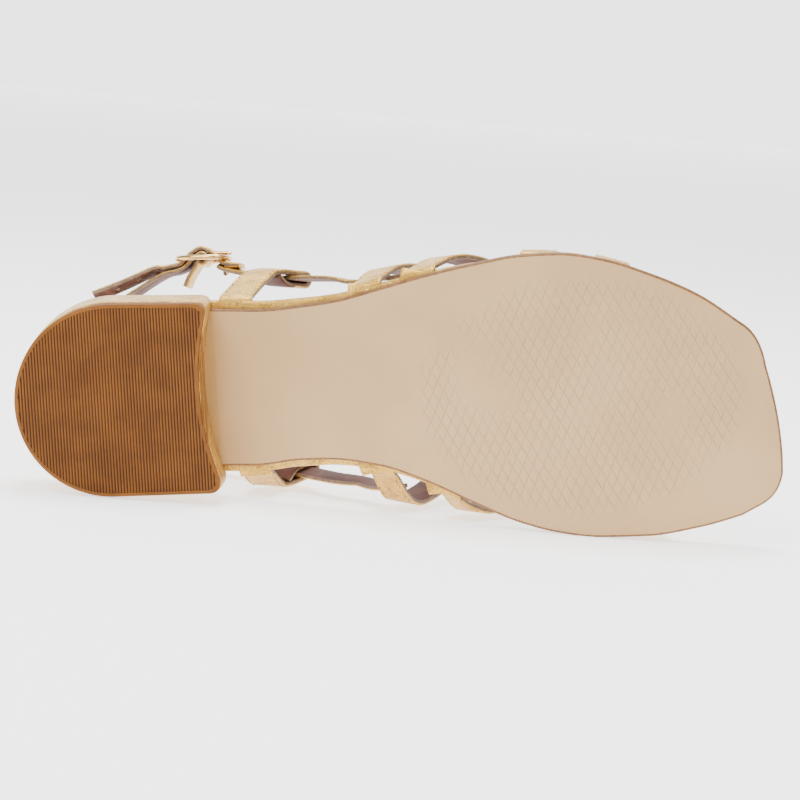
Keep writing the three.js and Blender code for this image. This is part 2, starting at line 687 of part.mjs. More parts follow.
// Guide loop: a strap from the insole's edge that folds over the strap it guides
function loopFrames(side, key, footAlong, grow = 0) {
  const run = key.forward.clone().normalize();
  const up = new THREE.Vector3().copy(key.across).addScaledVector(run, -key.across.dot(run)).normalize();
  const out = new THREE.Vector3().crossVectors(up, run).normalize();
  if (out.y * side > 0) out.negate();
  const reach = (LEATHER + ANKLE_LEATHER) / 2 + LOOP_ROOM;
  const top = ANKLE_STRAP_WIDTH / 2 + LOOP_ROOM;
  const at = (height, away) =>
    key.middle.clone().addScaledVector(up, height).addScaledVector(out, away);
  const turns = 6;
  const fold = Array.from({ length: turns + 1 }, (_, i) => {
    const turn = (Math.PI * i) / turns;
    return {
      middle: at(top + reach * Math.sin(turn), reach * Math.cos(turn)),
      facing: out.clone().multiplyScalar(Math.cos(turn)).addScaledVector(up, Math.sin(turn)),
    };
  });
  const inward = out.clone().negate();
  const inner = [
    { middle: at(0, -reach), facing: inward },
    { middle: at(-top, -0.95 * reach), facing: inward },
    { middle: at(-1.9 * top, 0.2 * reach), facing: inward },
  ];
  const outer = [
    { middle: at(-2.8 * top, 0.3 * reach), facing: out },
    { middle: at(-1.5 * top, 0.92 * reach), facing: out },
    { middle: at(0, reach), facing: out },
  ];
  const foot = footFrames(side, footAlong, LOOP_SLANT, grow);
  const rest = [...outer, ...fold, ...inner].map((frame) => ({
    ...frame,
    width: STRAP_WIDTH + 2 * grow,
    thickness: LEATHER + 2 * grow,
  }));
  return faceFrames([...foot, ...rest]);
}

const isLoopRow = (row) => row.at === "loop";
const ankleLoopKey = ankleKeys[ANKLE_STRAP.findIndex(isLoopRow)];
const heelLoopKey = heelKeys[HEEL_STRAP.findIndex(isLoopRow)];
const lateralLoop = (grow) => loopFrames(1, ankleLoopKey, LOOP_FEET.lateral, grow);
const medialLoop = (grow) => loopFrames(-1, heelLoopKey, LOOP_FEET.medial, grow);

// Outline of the heel, seen from below; grow moves it outwards
function heelShape(grow) {
  const radius = HEEL_WIDTH / 2 + grow;
  const middle = HEEL_WIDTH / 2;
  const shape = new THREE.Shape();
  const corner = HEEL_CORNER;
  const slope = corner / 8; // how far the front edge leans at its two ends
  const [front, back] = [BREAST_LATERAL + grow, BREAST_MEDIAL + grow];
  const lateralSide = -(HEEL_FRONT_LATERAL + grow);
  const medialSide = HEEL_FRONT_MEDIAL + grow;
  shape.moveTo(middle, HEEL_SHIFT + radius);
  shape.absarc(middle, HEEL_SHIFT, radius, Math.PI / 2, (3 * Math.PI) / 2, false);
  shape.lineTo(front - corner, lateralSide);
  shape.quadraticCurveTo(front, lateralSide, front - slope, lateralSide + corner);
  shape.quadraticCurveTo((front + back) / 2 - 2 * BREAST_HOLLOW, 0, back - slope, medialSide - corner);
  shape.quadraticCurveTo(back, medialSide, back - corner, medialSide);
  shape.closePath();
  return shape;
}

// Straight-sided or flared prism of the heel's outline
function heelPrism(lowGrow, highGrow, low, high) {
  const segments = 20;
  const ring = (grow, z) =>
    heelShape(grow)
      .getPoints(segments)
      .map((p) => new THREE.Vector3(p.x, p.y, z));
  const bottom = ring(lowGrow, low);
  const top = ring(highGrow, high);
  if (bottom[0].distanceTo(bottom[bottom.length - 1]) < 1e-6) {
    bottom.pop();
    top.pop();
  }
  const count = bottom.length;
  const faces = THREE.ShapeUtils.triangulateShape(
    bottom.map((p) => new THREE.Vector2(p.x, p.y)),
    [],
  );
  const index = [];
  for (let i = 0; i < count; i++) {
    const next = (i + 1) % count;
    index.push(i, next, next + count, i, next + count, i + count);
  }
  for (const [a, b, c] of faces) index.push(a, c, b, a + count, b + count, c + count);
  const geometry = new THREE.BufferGeometry();
  const positions = [...bottom, ...top].flatMap((p) => [p.x, p.y, p.z]);
  geometry.setAttribute("position", new THREE.Float32BufferAttribute(positions, 3));
  geometry.setIndex(index);
  return solidFrom(geometry);
}

// Insole outline: round the heel seat and along both edges
function insoleSides(steps, cornerSteps) {
  const seatRadius = HEEL_WIDTH / 2 - 2 * GAP;
  const rear = heelQuarter((side) => insoleEdge(side, SECTIONS[0].along), seatRadius, 8);
  const toeInset = -SECTIONS.at(-1).rimLateral * INSOLE_RIM;
  return soleSides(insoleEdge, rear, toeInset, steps, cornerSteps);
}

// Space above the insole's underside, used to trim the heel block
function aboveInsole() {
  return soleLayer({
    sides: insoleSides(22, 4),
    sharedRear: true,
    levels: [
      { rise: -GAP, inset: -2 * HEEL_TRIM },
      { rise: HEEL_HEIGHT, inset: -2 * HEEL_TRIM },
    ],
    heightAt: seatHeight,
  });
}

function insoleSolid() {
  const board = soleLayer({
    sides: insoleSides(26, 5),
    sharedRear: true,
    levels: [
      { rise: 0, inset: INSOLE_BEVEL },
      { rise: INSOLE_BEVEL, inset: 0 },
      { rise: INSOLE_THICKNESS - INSOLE_BEVEL, inset: 0 },
      { rise: INSOLE_THICKNESS, inset: INSOLE_BEVEL },
    ],
    heightAt: seatHeight,
  });
  const feet = [
    ...VAMP_STRAPS.map((strap) => ribbonSolid(vampFrames(strap, FOOT_CUT))),
    ribbonSolid(lateralLoop(FOOT_CUT)),
    ribbonSolid(medialLoop(FOOT_CUT)),
  ];
  return largestBody(feet.reduce((left, foot) => left.subtract(foot), board));
}

// A strap cut back to the space over the outsole and clear of the heel block
function trimmedStrap(solid) {
  const under = soleLayer({
    sides: soleSides(outsoleEdge, outsoleRear, 0, 24, 5),
    sharedRear: false,
    levels: [
      { rise: -3 * OUTSOLE_THICKNESS, inset: -GAP },
      { rise: 0, inset: -GAP },
    ],
    heightAt: seatHeight,
  });
  const heel = heelPrism(GAP, HEEL_FLARE + GAP, -GAP, HEEL_HEIGHT + GAP);
  return largestBody(solid.subtract(under).subtract(heel));
}

// The main body of a cut solid, without the chips that the cuts leave at an edge
function largestBody(solid) {
  return solid.decompose().reduce((most, body) => (body.volume() > most.volume() ? body : most));
}

// The outsole starts behind the heel's front edge, where the block cuts it
function outsoleRear(side) {
  const along = (0.8 * BREAST_LATERAL) / LENGTH;
  return [{ along: along * LENGTH, across: side * outsoleEdge(side, along) }];
}

function outsoleSolid() {
  const sheet = soleLayer({
    sides: soleSides(outsoleEdge, outsoleRear, 0, 24, 5),
    sharedRear: false,
    levels: [
      { rise: 0, inset: OUTSOLE_BEVEL },
      { rise: OUTSOLE_BEVEL, inset: 0 },
      { rise: OUTSOLE_THICKNESS, inset: 0 },
    ],
    heightAt: (along) => seatHeight(along) - OUTSOLE_THICKNESS - GAP,
  });
  return sheet.subtract(heelPrism(GAP, HEEL_FLARE + GAP, -GAP, HEEL_HEIGHT + HEEL_TRIM));
}

function heelBlockSolid() {
  const block = heelPrism(0, HEEL_FLARE, LIFT_THICKNESS + GAP, HEEL_HEIGHT + HEEL_TRIM);
  return block.subtract(aboveInsole());
}

const topLiftSolid = () => heelPrism(-LIFT_INSET, -LIFT_INSET, 0, LIFT_THICKNESS);

// Tube through points, with a round section and flat ends
function tubeSolid(points, radius, segments) {
  const curve = new THREE.CatmullRomCurve3(points);
  const section = new THREE.Shape();
  section.absarc(0, 0, radius, 0, 2 * Math.PI, false);
  const geometry = new THREE.ExtrudeGeometry(section, {
    steps: segments,
    curveSegments: 5,
    extrudePath: curve,
    bevelEnabled: false,
  });
  return solidFrom(geometry);
}

// Ring of round wire through a closed row of points in one plane
function wireRing(points, facing, radius) {
  const sides = 10;
  const count = points.length;
  const positions = points.flatMap((point, i) => {
    const forward = points[(i + 1) % count].clone().sub(points[(i + count - 1) % count]).normalize();
    const outward = new THREE.Vector3().crossVectors(forward, facing).normalize();
    return Array.from({ length: sides }, (_, k) => {
      const turn = (2 * Math.PI * k) / sides;
      return point
        .clone()
        .addScaledVector(outward, radius * Math.cos(turn))
        .addScaledVector(facing, radius * Math.sin(turn))
        .toArray();
    }).flat();
  });
  const index = [];
  for (let i = 0; i < count; i++)
    for (let k = 0; k < sides; k++) {
      const [a, b] = [i * sides + k, i * sides + ((k + 1) % sides)];
      const [c, d] = [((i + 1) % count) * sides + k, ((i + 1) % count) * sides + ((k + 1) % sides)];
      index.push(a, b, d, a, d, c);
    }
  const geometry = new THREE.BufferGeometry();
  geometry.setAttribute("position", new THREE.Float32BufferAttribute(positions, 3));
  geometry.setIndex(index);
  return facingOut(geometry);
}

// Oval ring with a straight bar across its middle
function buckleSolid(grow) {
  const sides = 40;
  const bent = (value) => Math.sign(value) * Math.abs(value) ** BUCKLE_SQUARENESS;
  const half = (BUCKLE_HEIGHT - BUCKLE_WIRE) / 2;
  const ring = Array.from({ length: sides }, (_, i) => {
    const turn = (2 * Math.PI * i) / sides;
    const run = ((BUCKLE_LENGTH - BUCKLE_WIRE) / 2) * bent(Math.cos(turn));
    return atBuckle(run, half * bent(Math.sin(turn)), 0);
  });
  const bar = tubeSolid([-half, 0, half].map((up) => atBuckle(0, up, 0)), BUCKLE_BAR / 2 + grow, 2);
  return wireRing(ring, buckle.out, BUCKLE_WIRE / 2 + grow).add(bar);
}

// Standing shoe: every piece with its colour and finish
const FINISHES = {
  gold: { color: 0xd9be93, roughness: 0.36, metalness: 0.65 },
  beige: { color: 0xcdbba6, roughness: 0.55, metalness: 0 },
  amber: { color: 0xa66c3a, roughness: 0.6, metalness: 0 },
  brass: { color: 0xe0c48a, roughness: 0.18, metalness: 1 },
};

function piece(name, solid, finish) {
  const mesh = new THREE.Mesh(geometryFrom(solid), new THREE.MeshStandardMaterial(FINISHES[finish]));
  mesh.name = name;
  return mesh;
}

const shoe = new THREE.Group();
shoe.add(
  piece("top_lift", topLiftSolid(), "amber"),
  piece("heel_block", heelBlockSolid(), "gold"),
  piece("outsole", outsoleSolid(), "beige"),
  piece("insole", insoleSolid(), "gold"),
  piece("vamp_straps", vampSolid(), "gold"),
  piece("guide_loop_lateral", trimmedStrap(ribbonSolid(lateralLoop(0))), "gold"),
  piece("guide_loop_medial", trimmedStrap(ribbonSolid(medialLoop(0))), "gold"),
  piece("ankle_strap", ankleStrapSolid(), "gold"),
  piece("heel_strap", heelStrapSolid(), "gold"),
  piece("buckle_frame", buckleSolid(0), "brass"),
  piece("buckle_prong", prongSolid(0), "brass"),
);

// Lays the shoe on its medial side: on the heel, on the sole edge at the ball and on the upper
function layDown(standing) {
  const turned = new THREE.Group();
  turned.add(standing);
  turned.rotation.x = -Math.PI / 2;
  const supports = [["top_lift", "heel_block"], ["outsole"], ["guide_loop_medial", "vamp_straps"]];
  const passes = 12; // enough for the three lowest points to settle
  const lowest = (names) => {
    const corner = new THREE.Vector3();
    let best = null;
    for (const name of names) {
      const mesh = standing.getObjectByName(name);
      const corners = mesh.geometry.attributes.position;
      for (let i = 0; i < corners.count; i++) {
        corner.fromBufferAttribute(corners, i).applyMatrix4(mesh.matrixWorld);
        if (!best || corner.z < best.z) best = corner.clone();
      }
    }
    return best;
  };
  for (let pass = 0; pass < passes; pass++) {
    turned.updateMatrixWorld(true);
    const [heel, ball, loop] = supports.map(lowest);
    const normal = new THREE.Vector3().crossVectors(ball.sub(heel), loop.sub(heel)).normalize();
    const level = new THREE.Quaternion().setFromUnitVectors(normal, new THREE.Vector3(0, 0, 1));
    turned.quaternion.premultiply(level);
  }
  turned.updateMatrixWorld(true);
  const box = new THREE.Box3().setFromObject(turned, true);
  const middle = box.getCenter(new THREE.Vector3());
  turned.position.set(-middle.x, -middle.y, -box.min.z);
  const laid = new THREE.Group();
  laid.add(turned);
  return laid;
}

export default layDown(shoe);
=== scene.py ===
"""Right-foot gladiator sandal, lying on its medial side: the finish of every piece.

The shoe is drawn standing, in millimetres (+X heel to toe, +Y medial, +Z up from the
standing plane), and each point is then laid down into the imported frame, in metres.
"""
import logging
import math
from collections.abc import Callable, Sequence
from dataclasses import dataclass, field
from enum import Enum
from typing import NamedTuple

import bmesh
import bpy
from mathutils import Matrix, Vector


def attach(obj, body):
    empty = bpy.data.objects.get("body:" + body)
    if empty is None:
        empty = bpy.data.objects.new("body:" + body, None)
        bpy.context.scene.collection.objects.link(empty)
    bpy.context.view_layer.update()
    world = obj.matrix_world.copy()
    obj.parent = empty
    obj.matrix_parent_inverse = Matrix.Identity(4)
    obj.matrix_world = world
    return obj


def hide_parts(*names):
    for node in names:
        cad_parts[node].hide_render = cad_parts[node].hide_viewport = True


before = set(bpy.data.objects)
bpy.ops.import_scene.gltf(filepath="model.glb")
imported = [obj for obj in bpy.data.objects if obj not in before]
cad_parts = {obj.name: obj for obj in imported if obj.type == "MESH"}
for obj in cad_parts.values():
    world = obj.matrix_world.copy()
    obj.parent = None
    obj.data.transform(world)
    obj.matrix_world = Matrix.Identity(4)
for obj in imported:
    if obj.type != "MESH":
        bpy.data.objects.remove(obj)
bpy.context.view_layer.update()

BODY = "root"
MILLIMETRE = 0.001
MERGE_DISTANCE = 1e-7  # metres
SHARP_ANGLE = 38  # degrees above which an edge stays sharp
LOG = logging.getLogger("sandal")

Colour = tuple[float, float, float, float]


# Sizes of the shoe

class SoleRow(NamedTuple):
    """One section of sole and last.

    along is a share of the length, widths are shares of the ball width, rims are shares
    of the insole's rim, and arch, spring and crest are shares of the heel height, the toe
    spring and the instep height.
    """

    along: float
    lateral: float
    medial: float
    rim_lateral: float
    rim_medial: float
    arch: float
    spring: float
    body_lateral: float
    body_medial: float
    crest: float


class ToePoint(NamedTuple):
    """Point of the toe's outline: share of the length, share of the ball width (lateral +)."""

    along: float
    across: float


class StrapRow(NamedTuple):
    """Place of an ankle strap, either by turn over the last or by its own position.

    along is a share of the length, turn a share of half a turn over the last, across a
    share of the ball width (lateral +), height a share of the collar height, and lean the
    degrees by which the upper edge tips inwards.
    """

    along: float
    lean: float
    turn: float | None = None
    across: float = 0.0
    height: float = 0.0


class BarPoint(NamedTuple):
    """Place of a strap at the buckle: millimetres to the rear and out from the ring."""

    run: float
    out: float


class VampStrap(NamedTuple):
    """Strap over the foot: where its feet stand and how far its top moves to the toe."""

    name: str
    lateral_foot: float
    medial_foot: float
    advance: float


SOLE_ROWS = (
    SoleRow(0.123, 0.318, 0.326, 0.72, 0.86, 1, 0, 0.35, 0.35, 1.1),
    SoleRow(0.263, 0.299, 0.272, 1, 1, 0.94, 0, 0.36, 0.36, 1.1),
    SoleRow(0.313, 0.3, 0.267, 0.96, 1.04, 0.85, 0, 0.37, 0.37, 1.09),
    SoleRow(0.37, 0.319, 0.242, 0.8, 1.04, 0.69, 0, 0.385, 0.37, 1.07),
    SoleRow(0.416, 0.341, 0.235, 0.66, 0.92, 0.55, 0, 0.4, 0.372, 1.04),
    SoleRow(0.473, 0.388, 0.25, 0.46, 0.7, 0.365, 0, 0.425, 0.392, 0.98),
    SoleRow(0.535, 0.44, 0.301, 0.2, 0.4, 0.195, 0, 0.465, 0.418, 0.9),
    SoleRow(0.597, 0.483, 0.374, -0.1, 0, 0.07, 0, 0.49, 0.428, 0.79),
    SoleRow(0.658, 0.514, 0.442, -0.45, -0.6, 0.012, 0, 0.5, 0.444, 0.67),
    SoleRow(0.708, 0.52, 0.477, -0.7, -0.95, 0, 0, 0.495, 0.455, 0.58),
    SoleRow(0.757, 0.502, 0.493, -0.7, -0.95, 0, 0, 0.478, 0.46, 0.5),
    SoleRow(0.823, 0.447, 0.489, -0.7, -0.95, 0, 0, 0.428, 0.458, 0.41),
    SoleRow(0.885, 0.374, 0.462, -0.6, -0.6, 0, 0.12, 0.36, 0.43, 0.34),
    SoleRow(0.947, 0.262, 0.417, -0.5, -0.5, 0, 0.47, 0.26, 0.4, 0.28),
    SoleRow(1, 0.165, 0.36, -0.5, -0.5, 0, 1, 0.16, 0.36, 0.24),
)

VAMP_STRAPS = (
    VampStrap("toe", 0.772, 0.833, 0.012),
    VampStrap("ball", 0.678, 0.728, 0.036),
    VampStrap("front_chevron", 0.527, 0.563, 0.15),
    VampStrap("rear_chevron", 0.457, 0.474, 0.125),
)

ANKLE_STRAP_ROWS = (
    StrapRow(0.492, 0, turn=0.035),
    StrapRow(0.466, 0, turn=0.06),
    StrapRow(0.441, 4, turn=0.085),
    StrapRow(0.41, 10, across=0.388, height=0.51),
    StrapRow(0.345, 8, across=0.377, height=0.675),
    StrapRow(0.285, 6, across=0.385, height=0.83),
    StrapRow(0.257, 8, across=0.401, height=0.885),
    StrapRow(0.228, 10, across=0.47, height=0.915),
    StrapRow(0.165, 20, across=0.39, height=0.935),
    StrapRow(0.12, 24, across=0.336, height=0.935),
    StrapRow(0.075, 26, across=0.286, height=0.925),
)
LATERAL_LOOP_ROW = 4
BUCKLE_ROW = 7

HEEL_STRAP_ROWS = (
    StrapRow(0.497, 0, turn=0.965),
    StrapRow(0.474, 0, turn=0.94),
    StrapRow(0.449, 6, turn=0.91),
    StrapRow(0.415, 10, across=-0.35, height=0.49),
    StrapRow(0.355, 10, across=-0.343, height=0.66),
    StrapRow(0.28, 12, across=-0.345, height=0.82),
    StrapRow(0.19, 14, across=-0.335, height=0.93),
    StrapRow(0.1, 14, across=-0.27, height=0.985),
    StrapRow(0.045, 14, across=-0.13, height=1),
    StrapRow(0.032, 14, across=0.02, height=1),
    StrapRow(0.06, 16, across=0.17, height=0.99),
    StrapRow(0.12, 18, across=0.275, height=0.965),
)
MEDIAL_LOOP_ROW = 4

UNDER_RING = (
    BarPoint(-13, -2.6), BarPoint(-9, -2.1), BarPoint(-7.2, -1.75), BarPoint(-5.8, -0.3),
    BarPoint(-3.8, 1.7), BarPoint(0, 3.5), BarPoint(3.8, 1.7), BarPoint(5.8, -0.3),
    BarPoint(7.2, -1.75), BarPoint(9, -2.1), BarPoint(13, -2.8),
)
TO_BAR = (BarPoint(13, -5), BarPoint(8.4, -4), BarPoint(5.4, -2.6), BarPoint(3.3, -0.4))
FROM_BAR = (BarPoint(2.6, -3.4), BarPoint(4.4, -6.2), BarPoint(5.8, -9.4))


@dataclass(frozen=True)
class ShoeSizes:
    """Driving dimensions of the whole shoe, in millimetres.

    crest_shift, leg_place, toe_sides_end and the toe's points are shares, as in the rows
    above, and medial_sweep is the power that brings a strap's sweep nearer to its medial end.
    """

    length: float = 243
    ball_width: float = 89
    heel_height: float = 25
    toe_spring: float = 4
    outsole_thickness: float = 3
    insole_thickness: float = 4
    insole_rim: float = 2.4
    gap: float = 0.3
    instep_height: float = 62
    tuck_height: float = 18
    collar_height: float = 80
    crest_shift: float = 0.06
    medial_sweep: float = 0.85
    leather: float = 1.7
    tab_leather: float = 1
    strap_width: float = 10.6
    ankle_strap_width: float = 8
    ankle_leather: float = 1.4
    tab_length: float = 8
    leg_place: float = 0.2
    toe_sides_end: float = 0.947
    toe_lateral_corner: ToePoint = ToePoint(0.968, 0.219)
    toe_front_lateral: ToePoint = ToePoint(0.975, 0.118)
    toe_front_pull: ToePoint = ToePoint(1, -0.1)
    toe_tip: ToePoint = ToePoint(1, -0.27)
    toe_medial_pull: ToePoint = ToePoint(0.996, -0.348)
    toe_medial_corner: ToePoint = ToePoint(0.972, -0.382)


@dataclass(frozen=True)
class RestPose:
    """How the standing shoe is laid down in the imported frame."""

    turns: tuple[float, float, float] = (-89.3576, -0.0675, -4.6137)
    shift: tuple[float, float, float] = (-121.798, -41.88422, 28.8887)

    def rotation(self) -> Matrix:
        """Rotation from the standing shoe to the laid one."""
        about = [Matrix.Rotation(math.radians(turn), 3, axis) for turn, axis in zip(self.turns, "XYZ")]
        return about[0] @ about[1] @ about[2]

    def place(self, point: Vector) -> Vector:
        """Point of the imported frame, in metres, for one of the standing shoe."""
        return (self.rotation() @ point + Vector(self.shift)) * MILLIMETRE

    def direction(self, axis: Sequence[float]) -> Vector:
        """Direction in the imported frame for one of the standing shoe."""
        return self.rotation() @ Vector(axis)


SIZES = ShoeSizes()
POSE = RestPose()


# Curves

Spot = Vector | float


def mix(start: float, stop: float, share: float) -> float:
    """Number between two others, by share."""
    return start + (stop - start) * share


def evenly(start: float, stop: float, steps: int) -> list[float]:
    """Numbers from start to stop in equal steps, both included."""
    return [mix(start, stop, i / steps) for i in range(steps + 1)]


def hermite(starts: Spot, ends: Spot, leave: Spot, arrive: Spot, share: float) -> Spot:
    """Point, or number, of a cubic between two others with given tangents.

    Args:
        starts: first point.
        ends: last point.
        leave: tangent at the first point.
        arrive: tangent at the last point.
        share: place along the cubic, 0 to 1.

    Returns:
        The point.
    """
    squared, cubed = share * share, share ** 3
    return (starts * (2 * cubed - 3 * squared + 1) + ends * (3 * squared - 2 * cubed)
            + leave * (cubed - 2 * squared + share) + arrive * (cubed - squared))


def curve_point(points: Sequence[Vector], share: float, tension: float | None = None) -> Vector:
    """Point of a smooth curve through points.

    Args:
        points: the points that the curve passes.
        share: place along the curve, 0 to 1, with the points evenly spread over it.
        tension: pull of a plain curve, or None for one that follows uneven spacing.

    Returns:
        The point on the curve.
    """
    place = min(max(share, 0.0), 1.0) * (len(points) - 1)
    i = min(int(place), len(points) - 2)
    here, there = points[i], points[i + 1]
    before = points[i - 1] if i > 0 else here * 2 - there
    after = points[i + 2] if i + 2 < len(points) else there * 2 - here
    if tension is not None:
        return hermite(here, there, (there - before) * tension, (after - here) * tension, place - i)
    gaps = [math.sqrt((b - a).length) for a, b in ((before, here), (here, there), (there, after))]
    first, span, last = [max(gap, 1e-3) for gap in gaps]
    leave = (here - before) / first - (there - before) / (first + span) + (there - here) / span
    arrive = (there - here) / span - (after - here) / (span + last) + (after - there) / last
    return hermite(here, there, leave * span, arrive * span, place - i)


def bend_point(start: Vector, pull: Vector, stop: Vector, share: float) -> Vector:
    """Point of a quadratic bend."""
    return start.lerp(pull, share).lerp(pull.lerp(stop, share), share)


# Last: the form that sole and straps follow

class Last:
    """Sole and last of the shoe, worked out from its rows."""

    def __init__(self, sizes: ShoeSizes, rows: Sequence[SoleRow]) -> None:
        """Keep the sizes and rows."""
        self.sizes = sizes
        self.rows = rows

    def column(self, name: str, along: float) -> float:
        """Value of a column at a place along the foot, without overshoot.

        Args:
            name: column of the rows.
            along: share of the length.

        Returns:
            The column's value there.
        """
        rows = self.rows
        values = [getattr(row, name) for row in rows]
        if along <= rows[0].along:
            return values[0]
        slopes = [(values[i + 1] - values[i]) / (rows[i + 1].along - rows[i].along)
                  for i in range(len(rows) - 1)]

        def tangent(i: int) -> float:
            """Slope at a row, flat where the column turns back."""
            if i == 0 or i == len(rows) - 1:
                return slopes[min(i, len(slopes) - 1)]
            before, after = slopes[i - 1], slopes[i]
            return 0 if before * after <= 0 else 2 * before * after / (before + after)

        i = next((k for k, row in enumerate(rows) if row.along > along), len(rows) - 1) - 1
        span = rows[i + 1].along - rows[i].along
        share = min((along - rows[i].along) / span, 1)
        return hermite(values[i], values[i + 1], tangent(i) * span, tangent(i + 1) * span, share)

    def seat(self, along: float) -> float:
        """Underside of the insole above the standing plane."""
        lowest = self.sizes.outsole_thickness + self.sizes.gap
        return (lowest + self.column("arch", along) * (self.sizes.heel_height - lowest)
                + self.column("spring", along) * self.sizes.toe_spring)

    def outsole_edge(self, side: int, along: float) -> float:
        """Half width of the outsole; side is 1 lateral and -1 medial."""
        return self.column("lateral" if side > 0 else "medial", along) * self.sizes.ball_width

    def insole_edge(self, side: int, along: float) -> float:
        """Half width of the insole; side is 1 lateral and -1 medial."""
        rim = self.column("rim_lateral" if side > 0 else "rim_medial", along)
        return self.outsole_edge(side, along) + rim * self.sizes.insole_rim

    def point(self, along: float, turn: float) -> Vector:
        """Point of the last's surface.

        Args:
            along: share of the length.
            turn: turn over the foot, 0 at the lateral edge and pi at the medial one.

        Returns:
            The point.
        """
        sizes = self.sizes
        side = 1 if turn < math.pi / 2 else -1
        crest = -sizes.crest_shift * sizes.ball_width
        cosine, sine = abs(math.cos(turn)), max(math.sin(turn), 0)
        body = self.column("body_lateral" if side > 0 else "body_medial", along) * sizes.ball_width
        rise = self.column("crest", along) * sizes.instep_height * sine ** 0.92
        tuck = (body - self.insole_edge(side, along)) * max(0, 1 - rise / sizes.tuck_height) ** 2
        across = crest + side * ((body - side * crest) * cosine ** 0.82 - tuck)
        return Vector((along * sizes.length, -across, self.seat(along) + sizes.insole_thickness + rise))

    def facing(self, along: float, turn: float) -> Vector:
        """Outward direction of the last's surface.

        Args:
            along: share of the length.
            turn: turn over the foot, as in point.

        Returns:
            The direction.
        """
        step, margin = 0.02, 0.001
        low, high = max(turn - step, margin), min(turn + step, math.pi - margin)
        round_foot = self.point(along, high) - self.point(along, low)
        forward = self.point(along + step, turn) - self.point(along - step, turn)
        return forward.cross(round_foot).normalized()

    def edge_outward(self, side: int, along: float) -> Vector:
        """Direction square to the insole's edge, in plan.

        Args:
            side: 1 lateral, -1 medial.
            along: share of the length.

        Returns:
            The direction, away from the foot.
        """
        step = 0.01
        change = self.insole_edge(side, along + step) - self.insole_edge(side, along - step)
        return Vector((-change / (2 * step * self.sizes.length), -side, 0)).normalized()


LAST = Last(SIZES, SOLE_ROWS)


# Meshes

class MeshDraft:
    """Vertices and faces of one piece, in millimetres of the standing shoe."""

    def __init__(self) -> None:
        """Start empty."""
        self.points: list[Vector] = []
        self.faces: list[tuple[list[int], int]] = []

    def add_ring(self, ring: Sequence[Vector]) -> list[int]:
        """Add points.

        Args:
            ring: the points.

        Returns:
            Their numbers.
        """
        first = len(self.points)
        self.points.extend(ring)
        return list(range(first, first + len(ring)))

    def add_face(self, corners: Sequence[int], finish: int = 0) -> None:
        """Add a face, without corners that are there twice, unless too few are left.

        Args:
            corners: point numbers in order.
            finish: number of its finish.
        """
        unique = list(dict.fromkeys(corners))
        if len(unique) > 2:
            self.faces.append((unique, finish))

    def bridge(self, first: Sequence[int], second: Sequence[int],
               finishes: Sequence[int] | int = 0) -> None:
        """Join two closed rings of equal count.

        Args:
            first: point numbers of one ring.
            second: point numbers of the next ring.
            finishes: finish of every face, or one for each.
        """
        count = len(first)
        for i in range(count):
            after = (i + 1) % count
            finish = finishes if isinstance(finishes, int) else finishes[i]
            self.add_face((first[i], first[after], second[after], second[i]), finish)

    def build(self, name: str, materials: Sequence[bpy.types.Material]) -> bpy.types.Object:
        """Lay the piece down and make its object.

        Args:
            name: name of the piece.
            materials: one for each finish number.

        Returns:
            The new object, with its place in its mesh.
        """
        mesh = bpy.data.meshes.new(name)
        mesh.from_pydata([POSE.place(point) for point in self.points], [], [face for face, _ in self.faces])
        for material in materials:
            mesh.materials.append(material)
        mesh.polygons.foreach_set("material_index", [finish for _, finish in self.faces])
        shaped = bmesh.new()
        shaped.from_mesh(mesh)
        bmesh.ops.remove_doubles(shaped, verts=shaped.verts, dist=MERGE_DISTANCE)
        bmesh.ops.recalc_face_normals(shaped, faces=shaped.faces)
        shaped.to_mesh(mesh)
        shaped.free()
        mesh.shade_smooth()
        mesh.set_sharp_from_angle(angle=math.radians(SHARP_ANGLE))
        piece = bpy.data.objects.new(name, mesh)
        bpy.context.scene.collection.objects.link(piece)
        return piece


def settle(piece: bpy.types.Object, slot: str, *nodes: str) -> None:
    """Ride a piece on the shoe and hide the nodes that it stands for.

    Args:
        piece: the new object.
        slot: material slot of the record; not used.
        nodes: nodes that the piece replaces.
    """
    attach(piece, BODY)
    if nodes:
        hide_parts(*nodes)
    LOG.info("%s: %d faces", piece.name, len(piece.data.polygons))


# Shader nodes

def paint(red: int, green: int, blue: int) -> Colour:
    """Shader colour of a screen colour."""
    def linear(value: int) -> float:
        """Linear light of one channel."""
        share = value / 255
        return share / 12.92 if share <= 0.04045 else ((share + 0.055) / 1.055) ** 2.4
    return (linear(red), linear(green), linear(blue), 1.0)


